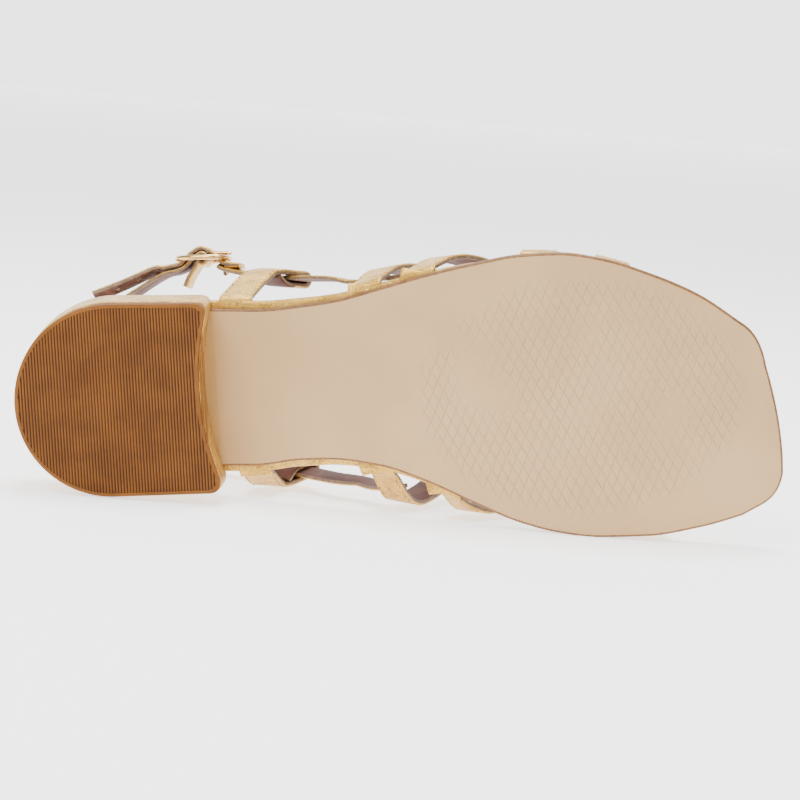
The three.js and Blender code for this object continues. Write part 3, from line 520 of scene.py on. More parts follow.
class Reading:
    """A value socket that takes part in Python arithmetic."""

    def __init__(self, desk: "ShaderDesk", socket: bpy.types.NodeSocket) -> None:
        """Wrap one output socket of a desk."""
        self.desk = desk
        self.socket = socket

    def _maths(self, operation: str, *values: "Reading | float") -> "Reading":
        """Result of a Math node."""
        sockets = dict(enumerate(values))
        return self.desk.reading("ShaderNodeMath", {"operation": operation}, sockets)

    def __add__(self, other: "Reading | float") -> "Reading":
        """Sum."""
        return self._maths("ADD", self, other)

    def __radd__(self, other: float) -> "Reading":
        """Sum, number first."""
        return self._maths("ADD", other, self)

    def __sub__(self, other: "Reading | float") -> "Reading":
        """Difference."""
        return self._maths("SUBTRACT", self, other)

    def __rsub__(self, other: float) -> "Reading":
        """Difference, number first."""
        return self._maths("SUBTRACT", other, self)

    def __mul__(self, other: "Reading | float") -> "Reading":
        """Product."""
        return self._maths("MULTIPLY", self, other)

    def __rmul__(self, other: float) -> "Reading":
        """Product, number first."""
        return self._maths("MULTIPLY", other, self)

    def __truediv__(self, other: "Reading | float") -> "Reading":
        """Quotient."""
        return self._maths("DIVIDE", self, other)

    def __pow__(self, other: "Reading | float") -> "Reading":
        """Power."""
        return self._maths("POWER", self, other)

    def __abs__(self) -> "Reading":
        """Size without sign."""
        return self._maths("ABSOLUTE", self)

    def sine(self) -> "Reading":
        """Sine of an angle in radians."""
        return self._maths("SINE", self)

    def between(self, low: float, high: float) -> "Reading":
        """Soft step from 0 at low to 1 at high."""
        settings = {"interpolation_type": "SMOOTHSTEP"}
        return self.desk.reading("ShaderNodeMapRange", settings, {"Value": self, 1: low, 2: high})


SocketValue = Reading | bpy.types.NodeSocket | float | Sequence[float]
Sockets = dict[str | int, SocketValue]


class ShaderDesk:
    """Builds the nodes of one material."""

    def __init__(self, name: str) -> None:
        """Start a material with an empty tree."""
        self.material = bpy.data.materials.new(name)
        self.material.use_nodes = True
        self.tree = self.material.node_tree
        self.tree.nodes.clear()

    def node(self, kind: str, settings: dict | None = None,
             sockets: Sockets | None = None) -> bpy.types.Node:
        """Add a node.

        Args:
            kind: the node's type.
            settings: its properties, set first.
            sockets: values or links of its inputs, by name or number.

        Returns:
            The node.
        """
        made = self.tree.nodes.new(kind)
        for name, value in (settings or {}).items():
            setattr(made, name, value)
        for name, value in (sockets or {}).items():
            target = made.inputs[name]
            if isinstance(value, Reading):
                self.tree.links.new(value.socket, target)
            elif isinstance(value, bpy.types.NodeSocket):
                self.tree.links.new(value, target)
            else:
                target.default_value = value
        return made

    def reading(self, kind: str, settings: dict | None = None,
                sockets: Sockets | None = None, output: str | int = 0) -> Reading:
        """Add a node and wrap one of its outputs as a value."""
        return Reading(self, self.node(kind, settings, sockets).outputs[output])

    def position(self) -> bpy.types.NodeSocket:
        """Place on the piece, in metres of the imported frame."""
        return self.node("ShaderNodeTexCoord").outputs["Object"]

    def along_axis(self, axis: Sequence[float]) -> Reading:
        """Millimetres of the standing shoe along one of its axes.

        Args:
            axis: direction in the standing shoe.

        Returns:
            The millimetres from its origin.
        """
        direction = POSE.direction(axis)
        start = direction.dot(Vector(POSE.shift))
        sockets = {0: self.position(), 1: direction / MILLIMETRE}
        return self.reading("ShaderNodeVectorMath", {"operation": "DOT_PRODUCT"}, sockets, "Value") - start

    def noise(self, size: float, detail: float, roughness: float = 0.55) -> Reading:
        """Cloudy noise from 0 to 1.

        Args:
            size: size of its features in millimetres.
            detail: finer layers added.
            roughness: strength of the finer layers.

        Returns:
            The noise.
        """
        sockets = {"Vector": self.position(), "Scale": 1 / (size * MILLIMETRE),
                   "Detail": detail, "Roughness": roughness}
        return self.reading("ShaderNodeTexNoise", None, sockets, "Fac")

    def cracks(self, size: float, stir: float) -> Reading:
        """Distance to the creases of a crinkled net, 0 on a crease.

        Args:
            size: size of its cells in millimetres.
            stir: how far the net is stirred, in cells.

        Returns:
            The distance, in cells.
        """
        stirred = self.node("ShaderNodeTexNoise", None, {
            "Vector": self.position(), "Scale": 0.6 / (size * MILLIMETRE), "Detail": 2.0})
        shifted = self.node("ShaderNodeVectorMath", {"operation": "MULTIPLY_ADD"}, {
            0: stirred.outputs["Color"], 1: (stir * size * MILLIMETRE,) * 3, 2: self.position()})
        sockets = {"Vector": shifted.outputs[0], "Scale": 1 / (size * MILLIMETRE)}
        return self.reading("ShaderNodeTexVoronoi", {"feature": "DISTANCE_TO_EDGE"}, sockets, "Distance")

    def blend(self, share: Reading, first: SocketValue, second: SocketValue) -> bpy.types.NodeSocket:
        """Colour between two others, by share."""
        settings = {"data_type": "RGBA", "clamp_factor": True}
        return self.node("ShaderNodeMix", settings, {0: share, 6: first, 7: second}).outputs[2]

    def bump(self, height: Reading, depth: float, under: SocketValue | None = None) -> bpy.types.NodeSocket:
        """Normal of a relief.

        Args:
            height: the relief, 0 to 1.
            depth: its depth in millimetres.
            under: normal that it lies on.

        Returns:
            The normal.
        """
        sockets: Sockets = {"Height": height, "Distance": depth * MILLIMETRE, "Strength": 1.0}
        if under is not None:
            sockets["Normal"] = under
        return self.node("ShaderNodeBump", None, sockets).outputs["Normal"]

    def finish(self, sockets: Sockets) -> bpy.types.Material:
        """Close the material with one surface shader."""
        surface = self.node("ShaderNodeBsdfPrincipled", None, sockets)
        self.node("ShaderNodeOutputMaterial", None, {"Surface": surface.outputs[0]})
        return self.material


# Finishes

@dataclass(frozen=True)
class FoilLeather:
    """Crinkled leather under a pale gold foil."""

    name: str = "foil_leather"
    bright: Colour = paint(234, 190, 96)
    plain: Colour = paint(206, 160, 68)
    # painted shade: colour towards which the crinkle's hollows are darkened
    hollow_painted_shade: Colour = paint(110, 74, 28)
    grain: float = 0.7
    metallic: float = 0.85
    relief_depth: float = 0.3

    def material(self) -> bpy.types.Material:
        """Satin foil with clouded tone, a fine sparkling crinkle and soft folds, with painted shade
        darkening the crinkle's hollows.
        """
        desk = ShaderDesk(self.name)
        clouds, folds = desk.noise(8, 4), desk.noise(2.4, 3, 0.6)
        crinkle = desk.noise(self.grain, 3, 0.7)
        # painted shade mask: the crinkle's low points, in patches
        pits = (1 - crinkle.between(0.36, 0.62)) * (0.25 + desk.noise(6, 2).between(0.35, 0.65) * 0.6)
        tone = desk.blend(clouds.between(0.3, 0.7), self.plain, self.bright)
        # tone with painted shade in the crinkle's hollows
        darkened = desk.blend(pits * 0.8, tone, self.hollow_painted_shade)
        relief = crinkle * (0.35 + clouds.between(0.35, 0.65) * 0.65) + folds * 0.5
        return desk.finish({
            "Base Color": darkened, "Metallic": self.metallic,
            "Roughness": 0.26 + crinkle * 0.14 + pits * 0.2,
            "Normal": desk.bump(relief, self.relief_depth)})


@dataclass(frozen=True)
class Lining:
    """Dark red-brown lining leather with a soft nap."""

    name: str = "strap_lining"
    light: Colour = paint(106, 62, 48)
    dark: Colour = paint(62, 30, 20)

    def material(self) -> bpy.types.Material:
        """Fine grain with clouded tone."""
        desk = ShaderDesk(self.name)
        grain = desk.noise(0.45, 4, 0.65)
        tone = desk.blend(desk.noise(5, 3).between(0.3, 0.7) * 0.7 + grain * 0.3, self.dark, self.light)
        return desk.finish({"Base Color": tone, "Roughness": 0.62 + grain * 0.2,
                            "Normal": desk.bump(grain, 0.05)})


@dataclass(frozen=True)
class PaintedEdge:
    """Painted cut edge of leather or sole."""

    name: str
    light: Colour
    dark: Colour

    def material(self) -> bpy.types.Material:
        """Slightly uneven satin paint."""
        desk = ShaderDesk(self.name)
        cloud = desk.noise(1.6, 4, 0.6)
        tone = desk.blend(cloud.between(0.3, 0.72), self.dark, self.light)
        return desk.finish({"Base Color": tone, "Roughness": 0.42 + cloud * 0.2,
                            "Normal": desk.bump(cloud, 0.04)})


@dataclass(frozen=True)
class SoleRubber:
    """Smooth matt beige sole with a faint lozenge tread in an oval under the ball.

    oval_centre and oval_reach are millimetres along and across the foot, pitch the
    distance between ridges, and slants the degrees by which the two families turn.
    """

    name: str = "sole"
    beige: Colour = paint(185, 148, 100)
    pale: Colour = paint(191, 155, 107)
    # painted shade and painted reflection of the gold heel, near the heel's breast
    breast: Colour = paint(174, 132, 68)
    # painted highlight: lighter colour of the tread's ridge lines
    ridge_highlight: Colour = paint(220, 190, 146)
    ridge_depth: float = 0.28
    oval_centre: tuple[float, float] = (179, 1)
    oval_reach: tuple[float, float] = (55, 40)
    pitch: float = 2.9
    slants: tuple[float, float] = (-22, 32)
    # millimetres along the foot where the painted shade and reflection by the heel's breast fades, and over
    # how far
    breast_place: float = 60
    breast_reach: float = 8

    def material(self) -> bpy.types.Material:
        """Beige tone with painted shade and a painted gold reflection towards the heel's breast, and two
        families of fine ridges, lightened as a painted highlight.
        """
        desk = ShaderDesk(self.name)
        along, across = desk.along_axis((1, 0, 0)), desk.along_axis((0, -1, 0))
        ridges: Reading | float = 0.0
        for slant in self.slants:
            turn = math.radians(slant)
            line = (along * (math.cos(turn) * math.pi / self.pitch)
                    + across * (math.sin(turn) * math.pi / self.pitch))
            ridges = ridges + (1 - abs(line.sine())) ** 5.0
        radius = (((along - self.oval_centre[0]) / self.oval_reach[0]) ** 2.0
                  + ((across - self.oval_centre[1]) / self.oval_reach[1]) ** 2.0)
        patch = (1 - radius.between(0.72, 1.05)) * desk.noise(26, 1).between(0.22, 0.55)
        grain = desk.noise(0.8, 3)
        tone = desk.blend(desk.noise(35, 2).between(0.35, 0.65), self.beige, self.pale)
        # share of painted shade and gold reflection, fading out forward of the heel's breast
        near = 1 - along.between(self.breast_place, self.breast_place + self.breast_reach)
        shade = desk.blend(near * 0.55, tone, self.breast)
        # painted highlight along the ridge lines of the tread
        lit = desk.blend(ridges * patch * 0.3, shade, self.ridge_highlight)
        normal = desk.bump(ridges * patch, self.ridge_depth, desk.bump(grain, 0.012))
        return desk.finish({"Base Color": lit, "Roughness": 0.5 + grain * 0.12, "Normal": normal})


@dataclass(frozen=True)
class HeelRubber:
    """Amber brown rubber of the top lift; a darker copy gives the floor between the ribs painted shade."""

    name: str
    light: Colour
    dark: Colour

    def material(self) -> bpy.types.Material:
        """Moulded rubber with a little dust and unevenness."""
        desk = ShaderDesk(self.name)
        cloud, grain = desk.noise(8, 4), desk.noise(0.5, 3)
        tone = desk.blend(cloud.between(0.3, 0.7) * 0.7 + grain * 0.3, self.dark, self.light)
        return desk.finish({"Base Color": tone, "Roughness": 0.5 + grain * 0.18, "Specular IOR Level": 0.25,
                            "Normal": desk.bump(grain, 0.03)})


@dataclass(frozen=True)
class PolishedGold:
    """Polished pale gold plate of the buckle."""

    name: str = "buckle_metal"
    plate: Colour = paint(232, 192, 128)
    darkened: Colour = paint(206, 160, 92)

    def material(self) -> bpy.types.Material:
        """Mirror plate with faint handling marks."""
        desk = ShaderDesk(self.name)
        marks = desk.noise(2.2, 4, 0.65)
        tone = desk.blend(marks.between(0.45, 0.75), self.plate, self.darkened)
        return desk.finish({"Base Color": tone, "Metallic": 1.0, "Roughness": 0.13 + marks * 0.12})


@dataclass(frozen=True)
class SewingThread:
    """Brown sewing thread."""

    name: str = "thread"
    light: Colour = paint(112, 68, 34)
    dark: Colour = paint(70, 38, 18)

    def material(self) -> bpy.types.Material:
        """Twisted tone along the stitches."""
        desk = ShaderDesk(self.name)
        twist = desk.noise(0.35, 2)
        tone = desk.blend(twist.between(0.35, 0.65), self.dark, self.light)
        return desk.finish({"Base Color": tone, "Roughness": 0.72, "Normal": desk.bump(twist, 0.05)})


@dataclass(frozen=True)
class Footbed:
    """Smooth tan lining leather of the insole."""

    name: str = "footbed"
    light: Colour = paint(206, 172, 134)
    dark: Colour = paint(184, 146, 106)

    def material(self) -> bpy.types.Material:
        """Fine pores and clouded tone."""
        desk = ShaderDesk(self.name)
        pores = desk.cracks(0.7, 0.5).between(0.0, 0.3)
        tone = desk.blend(desk.noise(14, 4).between(0.3, 0.7), self.dark, self.light)
        return desk.finish({"Base Color": tone, "Roughness": 0.5 + pores * 0.12,
                            "Normal": desk.bump(pores, 0.03)})


@dataclass(frozen=True)
class StudioPaper:
    """Paper with a glow of its own, as floor or as backdrop."""

    name: str
    tone: Colour
    glow: float

    def material(self) -> bpy.types.Material:
        """Matt paper with an even white glow."""
        return ShaderDesk(self.name).finish({
            "Base Color": self.tone, "Roughness": 0.9, "Specular IOR Level": 0.1,
            "Emission Color": (1, 1, 1, 1), "Emission Strength": self.glow})


@dataclass
class Finishes:
    """Every finish of the shoe, made once."""

    foil: bpy.types.Material = field(default_factory=lambda: FoilLeather().material())
    lining: bpy.types.Material = field(default_factory=lambda: Lining().material())
    edge: bpy.types.Material = field(default_factory=lambda: PaintedEdge(
        "edge_paint", paint(140, 114, 86), paint(100, 78, 56)).material())
    sole_edge: bpy.types.Material = field(default_factory=lambda: PaintedEdge(
        "sole_edge", paint(138, 90, 34), paint(98, 60, 20)).material())
    sole: bpy.types.Material = field(default_factory=lambda: SoleRubber().material())
    lift: bpy.types.Material = field(default_factory=lambda: HeelRubber(
        "heel_rubber", paint(126, 76, 16), paint(104, 60, 10)).material())
    # painted shade: darker copy of the heel rubber for the floor between the ribs
    lift_floor_painted_shade: bpy.types.Material = field(default_factory=lambda: HeelRubber(
        "heel_rubber_floor_painted_shade", paint(72, 34, 8), paint(54, 22, 4)).material())
    gold: bpy.types.Material = field(default_factory=lambda: PolishedGold().material())
    thread: bpy.types.Material = field(default_factory=lambda: SewingThread().material())
    footbed: bpy.types.Material = field(default_factory=lambda: Footbed().material())

    def strap(self) -> list[bpy.types.Material]:
        """Materials of a strap, in the order of StrapFace."""
        return [self.foil, self.edge, self.lining]


# Straps

class StrapFace(Enum):
    """Which finish a strip of a strap's section takes."""

    FOIL = 0
    EDGE = 1
    LINING = 2


class Crease(NamedTuple):
    """Soft trough across a strap.

    at is its distance from the strap's start in millimetres, depth and reach its size,
    and slant how far it runs along the strap for each millimetre across it.
    """

    at: float
    depth: float
    reach: float
    slant: float


@dataclass
class StrapFrame:
    """One place of a strap: its middle, a direction that its face or width takes, and its sizes."""

    middle: Vector
    width: float
    thickness: float
    facing: Vector | None = None
    across: Vector | None = None
    turned: int = 1


class Ribbon:
    """Strap along frames, with a rolled foil face, painted edges and a lining."""

    crease_behind = 0.6  # share of a crease's depth that shows on the lining

    def __init__(self, keys: Sequence[StrapFrame], spacing: float, creases: Sequence[Crease] = ()) -> None:
        """Smooth the keys into frames.

        Args:
            keys: given frames.
            spacing: millimetres between the frames made.
            creases: soft troughs across the foil face.
        """
        self.creases = creases
        middles = [key.middle for key in keys]
        length = sum((b - a).length for a, b in zip(middles, middles[1:]))
        shares = evenly(0, 1, max(int(length / spacing), 8))
        self.middles = [curve_point(middles, share) for share in shares]
        directions = [key.facing if key.facing is not None else key.across for key in keys]
        given = [curve_point(directions, share, 0.3) for share in shares]
        self.widths = [self._between([key.width for key in keys], share) for share in shares]
        self.thicknesses = [self._between([key.thickness for key in keys], share) for share in shares]
        self.bases: list[tuple[Vector, Vector, Vector]] = []
        self.distances = [0.0]
        for i, middle in enumerate(self.middles):
            before, after = self.middles[max(i - 1, 0)], self.middles[min(i + 1, len(shares) - 1)]
            forward = (after - before).normalized()
            square = (given[i] - forward * given[i].dot(forward)).normalized()
            if keys[0].facing is not None:
                self.bases.append((forward, forward.cross(square).normalized(), square))
            else:
                self.bases.append((forward, square, square.cross(forward).normalized() * keys[0].turned))
            if i:
                self.distances.append(self.distances[-1] + (middle - self.middles[i - 1]).length)
        self.length = self.distances[-1]

    @staticmethod
    def _between(values: Sequence[float], share: float) -> float:
        """Value between the keys' values."""
        place = share * (len(values) - 1)
        i = min(int(place), len(values) - 2)
        return mix(values[i], values[i + 1], place - i)

    @staticmethod
    def section(width: float, thickness: float) -> list[tuple[float, float, StrapFace]]:
        """Points of the section: across, out and the finish of the strip that follows each.

        Args:
            width: width of the strap.
            thickness: thickness of the strap.

        Returns:
            The points in order round the section.
        """
        half, top = width / 2, thickness / 2
        right = [
            (0.0, -top, StrapFace.LINING),
            (half - 0.3 * thickness, -top, StrapFace.EDGE),
            (half - 0.07 * thickness, -0.8 * top, StrapFace.EDGE),
            (half, -0.3 * top, StrapFace.EDGE),
            (half, 0.25 * top, StrapFace.FOIL),
            (half - 0.06 * thickness, 0.68 * top, StrapFace.FOIL),
            (half - 0.18 * thickness, 0.93 * top, StrapFace.FOIL),
            (half - 0.32 * thickness, top, StrapFace.FOIL),
            (half - 0.44 * thickness, 0.93 * top, StrapFace.FOIL),
            (half - 0.54 * thickness, 0.83 * top, StrapFace.FOIL),
            (half - 0.66 * thickness, 0.94 * top, StrapFace.FOIL),
            (half - 0.95 * thickness, 1.02 * top, StrapFace.FOIL),
            (0.5 * half, 1.07 * top, StrapFace.FOIL),
            (0.0, 1.09 * top, StrapFace.FOIL),
        ]
        left = [(-across, out, face)
                for (across, out, _), (_, _, face) in zip(right[-2:0:-1], right[-3::-1])]
        return right + left

    def point(self, distance: float, across: float, out: float) -> tuple[Vector, Vector, Vector, Vector]:
        """Point over the strap and its directions.

        Args:
            distance: millimetres from the strap's start.
            across: millimetres from its middle line.
            out: millimetres over its middle surface.

        Returns:
            The point, and the forward, sideways and outward directions there.
        """
        i = next((k for k, d in enumerate(self.distances) if d > distance), len(self.distances) - 1)
        span = self.distances[i] - self.distances[i - 1]
        share = (distance - self.distances[i - 1]) / span
        middle = self.middles[i - 1].lerp(self.middles[i], share)
        forward, sideways, outward = [a.lerp(b, share).normalized()
                                      for a, b in zip(self.bases[i - 1], self.bases[i])]
        return middle + sideways * across + outward * out, forward, sideways, outward

    def size_at(self, distance: float) -> tuple[float, float]:
        """Width and thickness at a distance from the start, in millimetres."""
        i = next((k for k, d in enumerate(self.distances) if d > distance), len(self.distances) - 1)
        return self.widths[i], self.thicknesses[i]

    def trough(self, distance: float, across: float) -> float:
        """Depth of the creases at a place of the foil face.

        Args:
            distance: millimetres from the strap's start.
            across: millimetres from its middle line.

        Returns:
            The depth in millimetres.
        """
        depth = 0.0
        for crease in self.creases:
            past = (distance + crease.slant * across - crease.at) / crease.reach
            depth += crease.depth * math.exp(-past ** 2)
        return depth

    def into(self, draft: MeshDraft, lined_from: float = math.inf) -> None:
        """Add the strap's closed mesh to a draft.

        Args:
            draft: draft that takes the strap.
            lined_from: distance from its start past which both faces show lining.
        """
        rings = []
        for i, middle in enumerate(self.middles):
            _, sideways, outward = self.bases[i]
            ring = []
            for across, out, face in self.section(self.widths[i], self.thicknesses[i]):
                depth = self.trough(self.distances[i], across)
                sunk = out - depth if out > 0 else out - self.crease_behind * depth
                ring.append(middle + sideways * across + outward * sunk)
            rings.append(draft.add_ring(ring))
        faces = [face for _, _, face in self.section(self.widths[0], self.thicknesses[0])]
        lined = [StrapFace.LINING if face is StrapFace.FOIL else face for face in faces]
        for first, second, distance in zip(rings, rings[1:], self.distances):
            shown = lined if distance > lined_from else faces
            draft.bridge(first, second, [face.value for face in shown])
        draft.add_face(rings[0], StrapFace.EDGE.value)
        draft.add_face(rings[-1], StrapFace.EDGE.value)


@dataclass(frozen=True)
class Stitching:
    """Seam of short stitches near a strap's edges, in millimetres.

    inset is a share of the strap's thickness, past_foot the height where a seam starts
    over the insole's underside, and end_margin what a row across leaves free in all.
    """

    pitch: float = 2.7
    stitch: float = 1.1
    breadth: float = 0.46
    height: float = 0.24
    inset: float = 0.54
    past_foot: float = 5
    end_margin: float = 2.4
    across_share: float = 0.8
    sides: int = 6

    def stitch_at(self, draft: MeshDraft, centre: Vector, forward: Vector, sideways: Vector,
                  outward: Vector) -> None:
        """Add one stitch, a short pinched bar half sunk in the leather.

        Args:
            draft: draft that takes the stitch.
            centre: its middle.
            forward: direction of its length.
            sideways: direction of its breadth.
            outward: direction of its height.
        """
        rings = []
        for place, swell in ((-0.5, 0.35), (-0.34, 0.9), (0.34, 0.9), (0.5, 0.35)):
            sunk = 0.3 * self.height * (1 - swell)
            ring = []
            for k in range(self.sides):
                turn = 2 * math.pi * k / self.sides
                ring.append(centre + forward * (place * self.stitch)
                            + sideways * (0.5 * self.breadth * swell * math.cos(turn))
                            + outward * (0.5 * self.height * swell * math.sin(turn) - sunk))
            rings.append(draft.add_ring(ring))
        for first, second in zip(rings, rings[1:]):
            draft.bridge(first, second)
        draft.add_face(rings[0])
        draft.add_face(rings[-1])

    def sew(self, draft: MeshDraft, ribbon: Ribbon, start: float, stop: float) -> None:
        """Sew both edges of a strap.

        Args:
            draft: draft that takes the stitches.
            ribbon: the strap.
            start: distance from the strap's start where the seam starts.
            stop: distance where it ends.
        """
        count = int((stop - start) / self.pitch)
        for i in range(count):
            distance = start + (i + 0.5) * self.pitch
            width, thickness = ribbon.size_at(distance)
            for side in (-1, 1):
                across = side * (width / 2 - self.inset * thickness)
                out = 0.45 * thickness - ribbon.trough(distance, across)
                self.stitch_at(draft, *ribbon.point(distance, across, out))

    def sew_across(self, draft: MeshDraft, ribbon: Ribbon, distance: float) -> None:
        """Sew one row across a strap.

        Args:
            draft: draft that takes the stitches.
            ribbon: the strap.
            distance: distance of the row from the strap's start.
        """
        width, thickness = ribbon.size_at(distance)
        count = max(int((width - self.end_margin) / (self.across_share * self.pitch)), 1)
        for i in range(count):
            across = mix(-0.5, 0.5, (i + 0.5) / count) * (width - self.end_margin)
            point, forward, sideways, outward = ribbon.point(distance, across, 0.54 * thickness)
            self.stitch_at(draft, point, sideways, forward, outward)


def foot_frames(side: int, along: float, slant: float, width: float) -> list[StrapFrame]:
    """Frames of a strap's foot, from its end under the insole up past the insole's edge.

    Args:
        side: 1 lateral, -1 medial.
        along: place of the foot, share of the length.
        slant: millimetres along the shoe for each millimetre of the strap's own length.
        width: width of the strap.

    Returns:
        The frames.
    """
    leather, tab = SIZES.leather, SIZES.tab_leather
    centre = SIZES.gap + leather / 2
    down = Vector((0, 0, -1))
    # out past the insole's edge, rise over its underside, length, thickness, lean of the face outwards
    stations = (
        (-SIZES.tab_length, tab / 2, -SIZES.tab_length - 2, tab, 0.0),
        (-1.6, tab / 2, -3.4, tab, 0.0),
        (-0.3, tab / 2 + 0.05, -2.2, tab, 0.35),
        (0.5 * centre, 0.8, -1.2, 0.55 * leather, 0.8),
        (0.78 * centre, 1.5, -0.4, 0.6 * leather, 3.0),
        (0.92 * centre, 2.8, 0.9, 0.8 * leather, None),
        (centre, 4.4, 2.5, leather, None),
    )
    frames = []
    for out, rise, length, thickness, lean in stations:
        place = along + slant * length / SIZES.length
        outward = LAST.edge_outward(side, place)
        edge = -side * LAST.insole_edge(side, place)
        middle = Vector((place * SIZES.length, edge, LAST.seat(place) + rise))
        facing = outward if lean is None else down + outward * lean
        frames.append(StrapFrame(middle + outward * out, width, thickness, facing=facing))
    return frames


@dataclass
class Upper:
    """Four straps over the foot and one down the middle, sewn where they cross.

    centre_from and centre_to are shares of the length, centre_lift a share of the
    leather, and end_seam and inner_seam the places of the rows sewn across the joins.
    """

    finishes: Finishes
    centre_from: float = 0.565
    centre_to: float = 0.835
    centre_lift: float = 0.55
    first_turn: float = 0.05 * math.pi
    arch_steps: int = 26
    centre_steps: int = 18
    spacing: float = 1.1
    end_seam: float = 1.6
    inner_seam: float = 1.4
    stitching: Stitching = Stitching()
    creases: tuple[Crease, ...] = (
        Crease(13, 0.16, 1.1, 0.3), Crease(16.5, 0.1, 0.9, -0.35), Crease(21, 0.07, 1.3, 0.5))

    def over_frames(self, strap: VampStrap) -> list[StrapFrame]:
        """Frames of a crossing strap from one foot over the last to the other.

        Args:
            strap: the strap.

        Returns:
            The frames, lateral foot first.
        """
        half = SIZES.leather / 2 + SIZES.gap

        def along_at(turn: float) -> float:
            """Place along the foot at a turn over the last."""
            ahead = math.sin(turn) ** (SIZES.medial_sweep if turn > math.pi / 2 else 1)
            return mix(strap.lateral_foot, strap.medial_foot, turn / math.pi) + strap.advance * ahead

        over = []
        for turn in evenly(self.first_turn, math.pi - self.first_turn, self.arch_steps):
            along = along_at(turn)
            facing = LAST.facing(along, turn)
            middle = LAST.point(along, turn) + facing * half
            over.append(StrapFrame(middle, SIZES.strap_width, SIZES.leather, facing=facing))

        def foot(side: int, place: float) -> list[StrapFrame]:
            """Frames of one foot."""
            turn = self.first_turn if side > 0 else math.pi - self.first_turn
            first = LAST.point(along_at(turn), turn)
            slant = (first.x - place * SIZES.length) / (first.z - LAST.seat(place))
            return foot_frames(side, place, slant, SIZES.strap_width)

        return foot(1, strap.lateral_foot) + over + foot(-1, strap.medial_foot)[::-1]

    def centre_frames(self) -> list[StrapFrame]:
        """Frames of the strap down the middle."""
        lift = SIZES.leather / 2 + SIZES.gap + self.centre_lift * SIZES.leather
        frames = []
        for along in evenly(self.centre_from, self.centre_to, self.centre_steps):
            facing = LAST.facing(along, math.pi / 2)
            middle = LAST.point(along, math.pi / 2) + facing * lift
            frames.append(StrapFrame(middle, SIZES.strap_width, SIZES.leather, facing=facing))
        return frames

    def build(self) -> None:
        """Make the straps and their seams."""
        straps, seams = MeshDraft(), MeshDraft()
        foot_length = SIZES.tab_length + self.stitching.past_foot
        for strap in VAMP_STRAPS:
            ribbon = Ribbon(self.over_frames(strap), self.spacing)
            mirrored = [Crease(ribbon.length - c.at, c.depth, c.reach, c.slant) for c in self.creases]
            ribbon.creases = (*self.creases, *mirrored)
            ribbon.into(straps)
            self.stitching.sew(seams, ribbon, foot_length, ribbon.length - foot_length)
        centre = Ribbon(self.centre_frames(), self.spacing)
        centre.into(straps)
        self.stitching.sew(seams, centre, 1, centre.length - 1)
        near, far = self.end_seam, SIZES.strap_width - self.inner_seam
        for distance in (near, far, centre.length - far, centre.length - near):
            self.stitching.sew_across(seams, centre, distance)
        settle(straps.build("vamp_straps_foil", self.finishes.strap()), "foil_leather", "vamp_straps")
        settle(seams.build("vamp_strap_seams", [self.finishes.thread]), "thread")


# Ankle straps, guide loops and buckle

class StrapKey(NamedTuple):
    """Ankle strap row laid out in space."""

    middle: Vector
    across: Vector
    forward: Vector


def strap_keys(rows: Sequence[StrapRow]) -> list[StrapKey]:
    """Lay out the rows of an ankle strap, facing away from the leg and leaning.

    Args:
        rows: the strap's rows.

    Returns:
        A key for each row.
    """
    middles = []
    for row in rows:
        if row.turn is None:
            middles.append(Vector((row.along * SIZES.length, -row.across * SIZES.ball_width,
                                   row.height * SIZES.collar_height)))
        else:
            turn = row.turn * math.pi
            inside = SIZES.ankle_leather / 2 + 2 * SIZES.gap
            middles.append(LAST.point(row.along, turn) - LAST.facing(row.along, turn) * inside)
    leg = Vector((SIZES.leg_place * SIZES.length, 0, 0))
    keys = []
    for i, row in enumerate(rows):
        forward = (middles[min(i + 1, len(rows) - 1)] - middles[max(i - 1, 0)]).normalized()
        away = middles[i] - leg
        away.z = 0
        if row.along * SIZES.length > leg.x:
            away.x = 0
        away = (away - forward * away.dot(forward)).normalized()
        across = forward.cross(away).normalized()
        if across.z < 0:
            across.negate()
        lean = math.radians(row.lean)
        keys.append(StrapKey(middles[i], across * math.cos(lean) - away * math.sin(lean), forward))
    return keys


ANKLE_KEYS = strap_keys(ANKLE_STRAP_ROWS)
HEEL_KEYS = strap_keys(HEEL_STRAP_ROWS)


class BuckleSeat:
    """Axes of the buckle, from the ankle strap's row that crosses its bar."""

    def __init__(self) -> None:
        """Work out centre, run to the rear, height and outward direction."""
        key = ANKLE_KEYS[BUCKLE_ROW]
        self.run = key.forward.normalized()
        self.up = (key.across - self.run * key.across.dot(self.run)).normalized()
        self.out = self.up.cross(self.run).normalized()
        if self.out.y > 0:
            self.out.negate()
        over_bar = next(point.out for point in UNDER_RING if point.run == 0)
        self.centre = key.middle - self.out * over_bar

    def at(self, run: float, up: float, out: float) -> Vector:
        """Point at the buckle, in its own millimetres."""
        return self.centre + self.run * run + self.up * up + self.out * out

    def frame(self, point: BarPoint, turned: int) -> StrapFrame:
        """Strap frame at the buckle."""
        return StrapFrame(self.at(point.run, 0, point.out), SIZES.ankle_strap_width, SIZES.ankle_leather,
                          across=self.up, turned=turned)


BUCKLE_SEAT = BuckleSeat()


